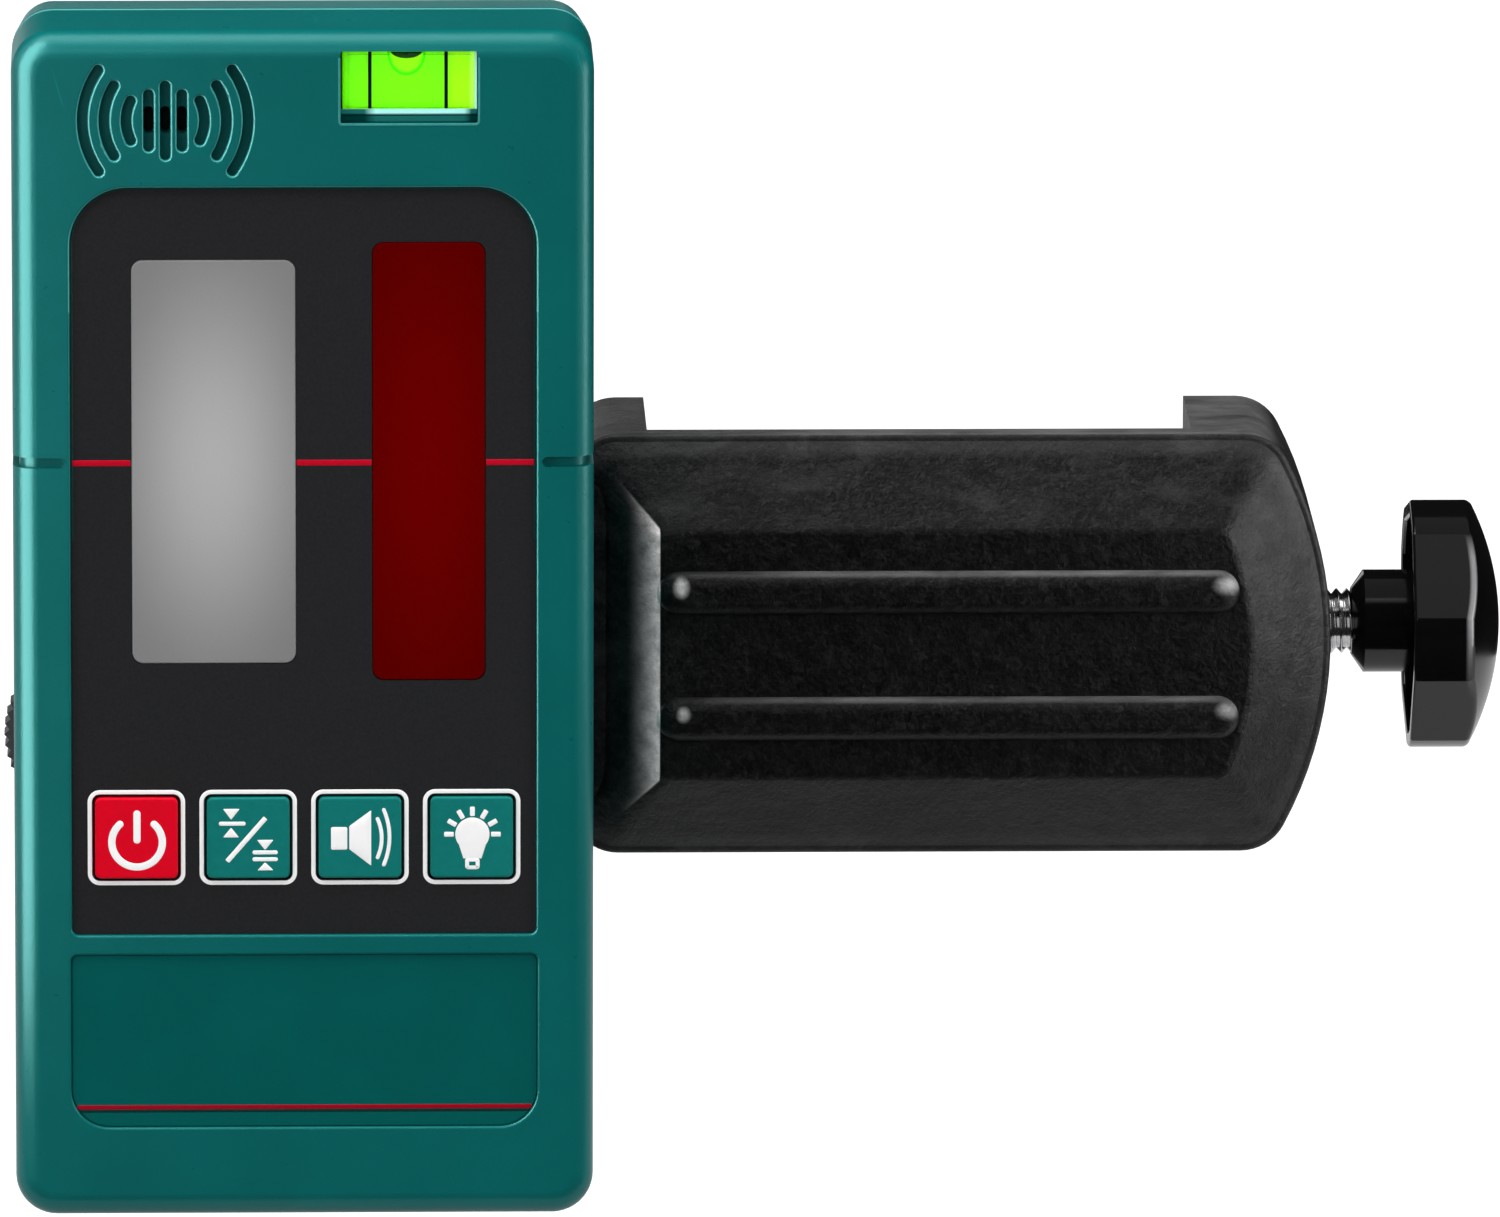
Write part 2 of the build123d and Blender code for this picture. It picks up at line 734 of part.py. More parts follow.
with BuildPart() as fixing_stud:
    post(stud_radius, fixing_at, stud_y[0], stud_y[1])
    chamfer(fixing_stud.faces().sort_by(Axis.Y)[0].edges(), stud_chamfer)
    with BuildSketch(facing(clip_y[1] + seat_gap)):
        with Locations(*fixing_at):
            Circle(stud_radius + cut_past)
            Circle(stud_neck_radius, mode=Mode.SUBTRACT)
    extrude(amount=clip_y[1] - clip_y[0] + 2 * seat_gap, mode=Mode.SUBTRACT)
keep(fixing_stud, "fixing_stud")

with BuildPart() as stud_clip:
    post(clip_radius, fixing_at, clip_y[0], clip_y[1])
    post(stud_neck_radius + seat_gap, fixing_at, clip_y[0], clip_y[1], Mode.SUBTRACT)
    mouth_at = [(fixing_x, fixing_z - clip_radius)]
    slab(clip_mouth, mouth_at, clip_y[0], clip_y[1], mode=Mode.SUBTRACT)
keep(stud_clip, "stud_clip")

with BuildPart() as fixing_wheel:
    tooth_turn = 360 / wheel_teeth
    ring = []
    for index in range(wheel_teeth):
        for turn, radius in ((0.0, wheel_radius), (0.5, wheel_root_radius)):
            angle = radians((index + turn) * tooth_turn)
            ring.append((fixing_x + radius * cos(angle), fixing_z + radius * sin(angle)))
    with BuildSketch(facing(wheel_y[1])):
        with BuildLine():
            Polyline(*ring, close=True)
        make_face()
    extrude(amount=wheel_y[1] - wheel_y[0])
    post(wheel_hub_radius, fixing_at, wheel_y[1], wheel_hub_y)
    fillet(fixing_wheel.faces().sort_by(Axis.Y)[-1].edges(), wheel_hub_round)
    post(stud_radius + press_gap, fixing_at, wheel_y[0], stud_y[1], Mode.SUBTRACT)
keep(fixing_wheel, "fixing_wheel")

# Clamp plate with its end walls: the fixed jaw on the left, the nut housing on the right
with BuildPart() as clamp_plate:
    with BuildSketch(facing(jaw_back_y)):
        clamp_outline(clamp_left, clamp_right, clamp_height, clamp_corner, clamp_end_radius)
    extrude(amount=jaw_back_y - rim_y)
    fillet(clamp_plate.faces().sort_by(Axis.Y)[0].edges(), rim_round)
    fillet(clamp_plate.faces().sort_by(Axis.Y)[-1].edges(), end_wall_round)
    gap_size = (end_wall_x - fixed_jaw_x, clamp_height + 2 * cut_past)
    gap_at = [((fixed_jaw_x + end_wall_x) / 2, clamp_mid_z)]
    slab(gap_size, gap_at, plate_back_y, jaw_back_y, mode=Mode.SUBTRACT)

# Arm behind the receiver, with a walled and ribbed box at its root
with BuildPart() as clamp_arm:
    with BuildSketch(facing(arm_y[1])):
        arm_outline()
    extrude(amount=arm_y[1] - arm_y[0])
    fillet(clamp_arm.faces().sort_by(Axis.Y)[-1].edges(), arm_round)
    with BuildSketch(facing(arm_box_back_y)):
        arm_box_outline()
        offset(amount=-arm_wall, mode=Mode.SUBTRACT)
    extrude(amount=arm_box_back_y - arm_y[0])
    cell_size = arm_rib_pitch - arm_wall
    with BuildSketch(facing(arm_box_back_y - arm_rib_sunk)):
        arm_box_outline()
        with Locations((arm_box_x[1] - arm_cells_width / 2, clamp_mid_z)):
            with GridLocations(arm_rib_pitch, arm_rib_pitch, arm_cells[0], arm_cells[1]):
                Rectangle(cell_size, cell_size, mode=Mode.SUBTRACT)
    extrude(amount=arm_box_back_y - arm_rib_sunk - arm_y[0])

# Clamp body: the pillow with its two ribs, joined to the plate and the arm
with BuildPart() as clamp_body:
    with BuildSketch(facing(rim_y)):
        clamp_outline(
            clamp_left + rim_step,
            clamp_right - rim_step,
            clamp_height - 2 * rim_step,
            clamp_corner - rim_step,
            clamp_end_radius - rim_step,
        )
    with BuildSketch(facing(flat_y)):
        clamp_outline(flat_left, flat_right, flat_height, flat_corner, flat_end_radius)
    loft(ruled=True)
    fillet(clamp_body.faces().sort_by(Axis.Y)[0].edges(), crest_round)
    with BuildSketch(facing(flat_y + rib_root)):
        for side in (-1, 1):
            with Locations((sum(rib_x) / 2, clamp_mid_z + side * rib_offset_z)):
                SlotOverall(rib_x[1] - rib_x[0], rib_width)
    extrude(amount=rib_root + rib_height)
    fillet(clamp_body.faces().group_by(Axis.Y)[0].edges(), rib_round)
    add([clamp_plate.part, clamp_arm.part])
    post(peg_radius, peg_points, peg_front_y, arm_y[0])
    post(stud_radius + running_gap, fixing_at, arm_y[0], arm_y[1], Mode.SUBTRACT)
    post(clip_radius + clip_gap, fixing_at, arm_y[0], clip_y[1] + clip_gap, Mode.SUBTRACT)
    # Groove that guides the moving jaw, seats for the pad and the nut, bore for the screw
    guide_size = (end_wall_x - guide_start_x, guide_width)
    guide_at = [((end_wall_x + guide_start_x) / 2, clamp_mid_z)]
    slab(guide_size, guide_at, guide_floor_y, plate_back_y, mode=Mode.SUBTRACT)
    extrude(pad_seat(fixed_jaw_x), amount=-pad_sunk, mode=Mode.SUBTRACT)
    with BuildSketch(screw_plane(end_wall_x)):
        RegularPolygon((nut_flats + nut_gap) / 2, 6, major_radius=False)
    extrude(amount=nut_thick + 2 * nut_gap, mode=Mode.SUBTRACT)
    with BuildSketch(screw_plane(end_wall_x)):
        Circle(end_bore_radius)
    extrude(amount=clamp_right - end_wall_x + cut_past, mode=Mode.SUBTRACT)
    pocket_points = [(end_pocket_x, clamp_mid_z + side * end_pocket_offset_z) for side in (-1, 1)]
    slab(end_pocket, pocket_points, end_pocket_floor_y, jaw_back_y, end_pocket_corner, Mode.SUBTRACT)
keep(clamp_body, "clamp_body")

fixed_jaw_pad = jaw_pad(fixed_jaw_x - pad_sunk, fixed_jaw_x - pad_sunk + pad_thick)
keep(fixed_jaw_pad, "fixed_jaw_pad")

with BuildPart() as screw_nut:
    with BuildSketch(screw_plane(end_wall_x + nut_gap)):
        RegularPolygon(nut_flats / 2, 6, major_radius=False)
        Circle(nut_bore_radius, mode=Mode.SUBTRACT)
    extrude(amount=nut_thick)
keep(screw_nut, "screw_nut")

# Moving jaw with the foot that runs in the guide groove and the seat for the screw's swivel
with BuildPart() as moving_jaw:
    jaw_at = [(sum(jaw_x) / 2, clamp_mid_z)]
    jaw_thick = jaw_x[1] - jaw_x[0]
    slab((jaw_thick, jaw_height), jaw_at, jaw_y[0], jaw_y[1], jaw_corner)
    fillet(moving_jaw.faces().sort_by(Axis.Y)[-1].edges(), jaw_round)
    slab((jaw_thick, guide_width - sliding_gap), jaw_at, guide_floor_y + sliding_gap, jaw_y[0])
    with BuildSketch(screw_plane(jaw_x[1])):
        Circle(swivel_radius + sliding_gap)
    extrude(amount=swivel_x[0] - sliding_gap - jaw_x[1], mode=Mode.SUBTRACT)
    with BuildSketch(screw_plane(jaw_x[1])):
        with Locations(*retainer_points):
            Circle(pilot_radius)
    extrude(amount=-pilot_depth, mode=Mode.SUBTRACT)
    extrude(pad_seat(jaw_x[0]), amount=pad_sunk, mode=Mode.SUBTRACT)
keep(moving_jaw, "moving_jaw")

moving_jaw_pad = jaw_pad(jaw_x[0] + pad_sunk, jaw_x[0] + pad_sunk - pad_thick)
keep(moving_jaw_pad, "moving_jaw_pad")

# Retainer plate that slips over the neck from one side, and its two screws
with BuildPart() as jaw_retainer:
    with BuildSketch(screw_plane(jaw_x[1])):
        RectangleRounded(retainer_size[0], retainer_size[1], retainer_corner)
        Circle(retainer_slot / 2, mode=Mode.SUBTRACT)
        with Locations((retainer_size[0] / 2, 0)):
            Rectangle(retainer_size[0], retainer_slot, mode=Mode.SUBTRACT)
        with Locations(*retainer_points):
            Circle(retainer_hole_radius, mode=Mode.SUBTRACT)
    extrude(amount=retainer_thick)
keep(jaw_retainer, "jaw_retainer")

with BuildPart() as retainer_screws:
    with BuildSketch(screw_plane(jaw_x[1] + retainer_thick)):
        with Locations(*retainer_points):
            Circle(retainer_head_radius)
    extrude(amount=retainer_head_thick)
    with BuildSketch(screw_plane(jaw_x[1] + retainer_thick)):
        with Locations(*retainer_points):
            Circle(retainer_screw_radius)
    extrude(amount=-(retainer_thick + retainer_screw_depth))
keep(retainer_screws, "retainer_screws")

# Clamp screw: swivel flange and neck in the jaw, ridged thread, plain end in the knob
with BuildPart() as clamp_screw:
    root_radius = screw_radius - thread_depth
    ridge_count = int((thread_x[1] - thread_x[0]) / thread_pitch)
    thread_end_x = thread_x[0] + ridge_count * thread_pitch
    ridges = []
    for index in range(ridge_count):
        ridge_x = thread_x[0] + index * thread_pitch
        ridges.append((ridge_x, root_radius))
        for crest in thread_crest:
            ridges.append((ridge_x + crest * thread_pitch, screw_radius))
    turned(
        [
            (swivel_x[0], 0),
            (swivel_x[0], swivel_radius),
            (swivel_x[1], swivel_radius),
            (swivel_x[1], neck_radius),
            (thread_x[0], neck_radius),
            *ridges,
            (thread_end_x, root_radius),
            (thread_end_x, screw_radius),
            (screw_end_x, screw_radius),
            (screw_end_x, 0),
        ]
    )
keep(clamp_screw, "clamp_screw")

# Knob: lobed head with a domed face, hollow behind, on a hub with a tapered nose
with BuildPart() as clamp_knob:
    with BuildSketch(screw_plane(knob_rim_x)):
        with BuildLine():
            lobed_outline()
        make_face()
    extrude(amount=knob_dome_x - knob_rim_x)
    fillet(clamp_knob.edges().filter_by(Axis.X), lobe_round)
    with BuildSketch(screw_side):
        past_radius = knob_radius + cut_past
        with BuildLine():
            Polyline((knob_dome_x, 0), (knob_rim_x, 0), (knob_rim_x, past_radius), (knob_edge_x, past_radius))
            TangentArc((knob_dome_x, 0), (knob_edge_x, past_radius), tangent=(0, 1))
        make_face()
    revolve(axis=screw_axis, mode=Mode.INTERSECT)
    fillet(clamp_knob.faces().sort_by(Axis.X)[-1].outer_wire().edges(), knob_edge_round)
    with BuildSketch(screw_plane(knob_rim_x)):
        with BuildLine():
            lobed_outline()
        make_face()
        offset(amount=-knob_wall, mode=Mode.REPLACE)
    extrude(amount=knob_floor_x - knob_rim_x, mode=Mode.SUBTRACT)
    fillet(clamp_knob.faces().sort_by(Axis.X)[0].edges(), knob_rim_round)
    turned(
        [
            (knob_hub_x, 0),
            (knob_hub_x, knob_nose_radius),
            (knob_hub_x + knob_nose_length, knob_hub_radius),
            (knob_floor_x + knob_hub_root, knob_hub_radius),
            (knob_floor_x + knob_hub_root, 0),
        ]
    )
    with BuildSketch(screw_plane(knob_hub_x)):
        Circle(screw_radius + press_gap)
    extrude(amount=screw_end_x - knob_hub_x, mode=Mode.SUBTRACT)
keep(clamp_knob, "clamp_knob")
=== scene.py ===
import math

import bmesh
import bpy
import numpy as np
from mathutils import Matrix, Vector


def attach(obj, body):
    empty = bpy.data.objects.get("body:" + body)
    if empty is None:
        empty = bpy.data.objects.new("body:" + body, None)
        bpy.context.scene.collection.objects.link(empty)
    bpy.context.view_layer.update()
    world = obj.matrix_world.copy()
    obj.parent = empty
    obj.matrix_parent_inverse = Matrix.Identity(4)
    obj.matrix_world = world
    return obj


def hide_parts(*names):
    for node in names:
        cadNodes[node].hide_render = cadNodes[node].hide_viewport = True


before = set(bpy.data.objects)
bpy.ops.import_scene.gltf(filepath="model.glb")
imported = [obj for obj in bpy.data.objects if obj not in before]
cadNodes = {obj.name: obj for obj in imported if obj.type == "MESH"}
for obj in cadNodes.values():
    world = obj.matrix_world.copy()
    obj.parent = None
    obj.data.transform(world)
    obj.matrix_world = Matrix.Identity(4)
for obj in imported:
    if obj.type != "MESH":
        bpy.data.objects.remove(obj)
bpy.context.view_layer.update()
scene = bpy.context.scene
mm = 0.001
print("frame loaded:", len(cadNodes), "nodes")

# Surfaces: every piece is a grid of points in millimetres, put into one mesh in metres
weldGap = 1e-8  # metres; closer points become one


def gridFaces(rows, columns, closeRows, closeColumns):
    # each quad joins (i, j), (i+1, j), (i+1, j+1) and (i, j+1); a closed side repeats its first line
    index = np.arange(rows * columns).reshape(rows, columns)
    if closeRows:
        index = np.vstack([index, index[:1]])
    if closeColumns:
        index = np.hstack([index, index[:, :1]])
    return np.stack([index[:-1, :-1], index[1:, :-1], index[1:, 1:], index[:-1, 1:]], -1).reshape(-1, 4)


def makePiece(name, surfaces, body, finish):
    # surfaces: (points of shape rows x columns x 3, closeRows, closeColumns)
    points, faces, start = [], [], 0
    for grid, closeRows, closeColumns in surfaces:
        rows, columns = grid.shape[:2]
        points.append(grid.reshape(-1, 3) * mm)
        faces.append(gridFaces(rows, columns, closeRows, closeColumns) + start)
        start += rows * columns
    mesh = bpy.data.meshes.new(name)
    mesh.from_pydata(np.vstack(points).tolist(), [], np.vstack(faces).tolist())
    welded = bmesh.new()
    welded.from_mesh(mesh)
    bmesh.ops.remove_doubles(welded, verts=welded.verts, dist=weldGap)
    bmesh.ops.recalc_face_normals(welded, faces=welded.faces)
    welded.to_mesh(mesh)
    welded.free()
    mesh.polygons.foreach_set("use_smooth", np.full(len(mesh.polygons), True))
    mesh.materials.append(finishes[finish])
    piece = bpy.data.objects.new(name, mesh)
    scene.collection.objects.link(piece)
    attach(piece, body)
    return piece


# Section of a print: how far it stands proud, how deep it is sunk, and its rounded edge
printing = {"rise": 0.03, "sink": 0.02, "edge": 0.05, "edgeShare": 0.4, "shoulder": 0.6, "capSteps": 8}


def strokeSurface(path, width, faceY, closed=False, square=2.0):
    # flat bead along a path in X and Z: point = path + normal * s at depth faceY - h, with (s, h) round
    # the bead's section; open ends close as half a superellipse of the given squareness (2 is round)
    path = np.asarray(path, float)
    half = width / 2
    if closed:
        tangent = np.roll(path, -1, 0) - np.roll(path, 1, 0)
        widths = np.ones(len(path))
    else:
        tangent = np.gradient(path, axis=0)
        tangent /= np.linalg.norm(tangent, axis=1)[:, None]
        turn = np.radians(np.linspace(90, 0, printing["capSteps"]))[:-1]
        reach = half * np.sin(turn) ** (2 / square)
        taper = np.cos(turn) ** (2 / square)
        inset = half if square > 2 else 0
        first = path[0] + tangent[0] * (inset - reach)[:, None]
        last = path[-1] - tangent[-1] * (inset - reach[::-1])[:, None]
        path = np.vstack([first, path[1:-1], last])
        ends = len(taper)
        widths = np.concatenate([taper, np.ones(len(path) - 2 * ends), taper[::-1]])
        tangent = np.vstack([np.repeat(tangent[:1], ends, 0), tangent[1:-1],
                             np.repeat(tangent[-1:], ends, 0)])
    tangent = tangent / np.linalg.norm(tangent, axis=1)[:, None]
    normal = np.stack([-tangent[:, 1], tangent[:, 0]], 1)
    rise, sink = printing["rise"], printing["sink"]
    shoulder = rise * printing["shoulder"]
    edge = min(printing["edge"], half * printing["edgeShare"])
    across = np.array([-half, -half, edge - half, half - edge, half, half])
    height = np.array([-sink, shoulder, rise, rise, shoulder, -sink])
    spread = across[None, :] * widths[:, None]
    grid = np.empty((len(path), len(across), 3))
    grid[..., 0] = path[:, :1] + normal[:, :1] * spread
    grid[..., 1] = faceY - height
    grid[..., 2] = path[:, 1:] + normal[:, 1:] * spread
    return grid, closed, True


def fillSurface(outline, faceY):
    # filled print: point = centre + f * (outline - centre), flat in the middle and turned down at the outline
    outline = np.asarray(outline, float)
    centre = outline.mean(0)
    rise, sink = printing["rise"], printing["sink"]
    size = np.linalg.norm(outline - centre, axis=1).mean()
    fraction = np.array([0.0, 0.5, 1 - printing["edge"] / size, 1.0, 1.0, 0.0])
    height = np.array([rise, rise, rise, rise * printing["shoulder"], -sink, -sink])
    flat = centre + fraction[:, None, None] * (outline - centre)[None]
    grid = np.empty((len(fraction), len(outline), 3))
    grid[..., 0] = flat[..., 0]
    grid[..., 1] = (faceY - height)[:, None]
    grid[..., 2] = flat[..., 1]
    return grid, False, True


def roundCorners(corners, radius, steps=7):
    # each corner c becomes (1-t)^2 a + 2t(1-t) c + t^2 b, where a and b lie at the radius on its two sides
    corners = np.asarray(corners, float)
    before = np.roll(corners, 1, 0) - corners
    after = np.roll(corners, -1, 0) - corners
    a = corners + before / np.linalg.norm(before, axis=1)[:, None] * radius
    b = corners + after / np.linalg.norm(after, axis=1)[:, None] * radius
    t = np.linspace(0, 1, steps)[None, :, None]
    curve = (1 - t) ** 2 * a[:, None] + 2 * t * (1 - t) * corners[:, None] + t**2 * b[:, None]
    return curve.reshape(-1, 2)


def roundedBox(width, height, corner, centre, steps=9):
    # rounded rectangle: four quarter circles about the corner centres
    turn = np.radians(np.linspace(0, 90, steps))[None] + np.radians([0, 90, 180, 270])[:, None]
    signs = np.array([[1, 1], [-1, 1], [-1, -1], [1, -1]])
    middle = signs * (np.array([width, height]) / 2 - corner)
    ring = middle[:, None] + corner * np.stack([np.cos(turn), np.sin(turn)], -1)
    return ring.reshape(-1, 2) + np.asarray(centre)


def arcPath(centre, radius, start, end, steps=40):
    # arc in X and Z, angles in degrees from +X towards +Z
    turn = np.radians(np.linspace(start, end, steps))
    return np.stack([centre[0] + radius * np.cos(turn), centre[1] + radius * np.sin(turn)], 1)


def archPath(look):
    # along one side, round a corner, across the crown, round a corner and back along the other side;
    # trim is the angle left off each end of a corner's arc
    left, right = look["x"]
    footZ, crownZ = look["z"]
    sideSteps, arcSteps, crownSteps = look["steps"]
    corner, trim = look["corner"], look["trim"]
    way = math.copysign(1, crownZ - footZ)
    turnZ = crownZ - way * corner
    return np.vstack([
        np.linspace((left, footZ), (left, turnZ), sideSteps),
        arcPath((left + corner, turnZ), corner, 180 - way * trim, 180 - way * (90 - trim), arcSteps),
        np.linspace((left + corner, crownZ), (right - corner, crownZ), crownSteps),
        arcPath((right - corner, turnZ), corner, way * (90 - trim), way * trim, arcSteps),
        np.linspace((right, turnZ), (right, footZ), sideSteps),
    ])


# Finishes: a Principled shader with its constants on the sockets and patterns on Object coordinates
plainNoise = {"detail": 3, "rough": 0.55, "distort": 0, "low": 0.3, "high": 0.7,
              "stretch": (1, 1, 1), "turn": (0, 0, 0)}
sharp = 0.05  # millimetres over which a crisp painted edge changes


def shaderOf(material):
    return material.node_tree.nodes["Principled BSDF"]


def objectPlace(tree):
    return tree.nodes.new("ShaderNodeTexCoord").outputs["Object"]


def objectAxes(tree):
    parts = tree.nodes.new("ShaderNodeSeparateXYZ")
    tree.links.new(objectPlace(tree), parts.inputs["Vector"])
    return parts.outputs


def remap(tree, value, low, high, least=0.0, most=1.0, ease="LINEAR"):
    # least at low and below, most at high and above
    spread = tree.nodes.new("ShaderNodeMapRange")
    spread.interpolation_type = ease
    for socket, number in (("From Min", low), ("From Max", high), ("To Min", least), ("To Max", most)):
        spread.inputs[socket].default_value = number
    tree.links.new(value, spread.inputs["Value"])
    return spread.outputs["Result"]


def combine(tree, operation, first, second):
    # math node on two values, each a socket or a number
    step = tree.nodes.new("ShaderNodeMath")
    step.operation = operation
    for slot, value in enumerate((first, second)):
        if isinstance(value, (int, float)):
            step.inputs[slot].default_value = value
        else:
            tree.links.new(value, step.inputs[slot])
    return step.outputs[0]


def times(tree, product, *others):
    for other in others:
        product = combine(tree, "MULTIPLY", product, other)
    return product


def stepAt(tree, value, low, high):
    # 0 below low, 1 above high, in millimetres
    return remap(tree, value, low * mm, high * mm)


def bandAt(tree, value, rise, top, fall, end):
    # 0 below rise, 1 from top to fall, 0 above end, in millimetres
    return combine(tree, "SUBTRACT", stepAt(tree, value, rise, top), stepAt(tree, value, fall, end))


def insideAt(tree, value, low, high):
    # 1 from low to high with crisp ends, in millimetres
    return bandAt(tree, value, low - sharp, low, high, high + sharp)


def ringDistance(tree, centre, reach):
    # |((x - cx) / rx, (z - cz) / rz)|: 0 at the centre and 1 on the ellipse
    mapping = tree.nodes.new("ShaderNodeMapping")
    mapping.vector_type = "TEXTURE"
    mapping.inputs["Location"].default_value = (centre[0] * mm, 0, centre[1] * mm)
    mapping.inputs["Scale"].default_value = (reach[0] * mm, 1, reach[1] * mm)
    flat = tree.nodes.new("ShaderNodeVectorMath")
    flat.operation = "MULTIPLY"
    flat.inputs[1].default_value = (1, 0, 1)
    length = tree.nodes.new("ShaderNodeVectorMath")
    length.operation = "LENGTH"
    tree.links.new(objectPlace(tree), mapping.inputs["Vector"])
    tree.links.new(mapping.outputs["Vector"], flat.inputs[0])
    tree.links.new(flat.outputs["Vector"], length.inputs[0])
    return length.outputs["Value"]


def noiseAt(tree, pattern):
    # noise with so many features per metre, turned and then stretched, remapped from low..high to 0..1
    pattern = {**plainNoise, **pattern}
    mapping = tree.nodes.new("ShaderNodeMapping")
    mapping.vector_type = "TEXTURE"
    mapping.inputs["Scale"].default_value = [1 / share for share in pattern["stretch"]]
    mapping.inputs["Rotation"].default_value = pattern["turn"]
    noise = tree.nodes.new("ShaderNodeTexNoise")
    noise.inputs["Scale"].default_value = pattern["scale"]
    noise.inputs["Detail"].default_value = pattern["detail"]
    noise.inputs["Roughness"].default_value = pattern["rough"]
    noise.inputs["Distortion"].default_value = pattern["distort"]
    tree.links.new(objectPlace(tree), mapping.inputs["Vector"])
    tree.links.new(mapping.outputs["Vector"], noise.inputs["Vector"])
    return remap(tree, noise.outputs["Fac"], pattern["low"], pattern["high"])


def mixColours(tree, factor, first, second):
    # first where the factor is 0, second where it is 1, each a colour or a socket;
    # a mix node's colours are its inputs 6 and 7 and its output 2
    blend = tree.nodes.new("ShaderNodeMix")
    blend.data_type = "RGBA"
    tree.links.new(factor, blend.inputs[0])
    for slot, colour in ((6, first), (7, second)):
        if isinstance(colour, tuple):
            blend.inputs[slot].default_value = (*colour, 1)
        else:
            tree.links.new(colour, blend.inputs[slot])
    return blend.outputs[2]


def paintOver(material, amount, colour):
    # mix a colour over what the finish already has
    base = shaderOf(material).inputs["Base Color"]
    plain = base.links[0].from_socket if base.links else tuple(base.default_value)[:3]
    tree = material.node_tree
    tree.links.new(mixColours(tree, amount, plain, colour), base)


def makeFinish(name, look):
    # constants on the sockets; tone and scratches change the colour, wear the roughness, grain the bump
    material = bpy.data.materials.new(name)
    material.use_nodes = True
    tree = material.node_tree
    shader = shaderOf(material)
    shader.inputs["Base Color"].default_value = (*look["colour"], 1)
    shader.inputs["Roughness"].default_value = look["rough"]
    for socket, value in look.get("sockets", {}).items():
        shader.inputs[socket].default_value = value
    if "tone" in look:
        paintOver(material, noiseAt(tree, look["tone"]), look["toneColour"])
    for scratch in look.get("scratches", ()):
        paintOver(material, noiseAt(tree, scratch), scratch["colour"])
    if "wear" in look:
        wear = noiseAt(tree, look["wear"])
        tree.links.new(remap(tree, wear, 0, 1, look["rough"], look["wearRough"]), shader.inputs["Roughness"])
    normal = shader.inputs["Normal"]
    for grain in look.get("grain", ()):
        bump = tree.nodes.new("ShaderNodeBump")
        bump.inputs["Strength"].default_value = grain["strength"]
        bump.inputs["Distance"].default_value = grain["height"] * mm
        tree.links.new(noiseAt(tree, grain), bump.inputs["Height"])
        if normal.links:
            tree.links.new(normal.links[0].from_socket, bump.inputs["Normal"])
        tree.links.new(bump.outputs["Normal"], normal)
    return material


fineGrain = {"scale": 5200, "detail": 2, "strength": 0.5, "height": 0.012}
softGrain = {"scale": 1700, "detail": 4, "strength": 0.5, "height": 0.02}
tealGloss = {"Specular IOR Level": 0.5, "Specular Tint": (0.42, 1.0, 0.95, 1.0)}


def capPlastic(colour, toneColour, tint):
    return {"colour": colour, "rough": 0.38, "toneColour": toneColour, "tone": {"scale": 900, "detail": 3},
            "sockets": {"Specular IOR Level": 0.22, "Specular Tint": tint}, "grain": [softGrain]}


def ink(colour, toneColour, rough, specular):
    return {"colour": colour, "rough": rough, "toneColour": toneColour, "tone": {"scale": 2500, "detail": 2},
            "sockets": {"Specular IOR Level": specular}, "grain": [fineGrain]}


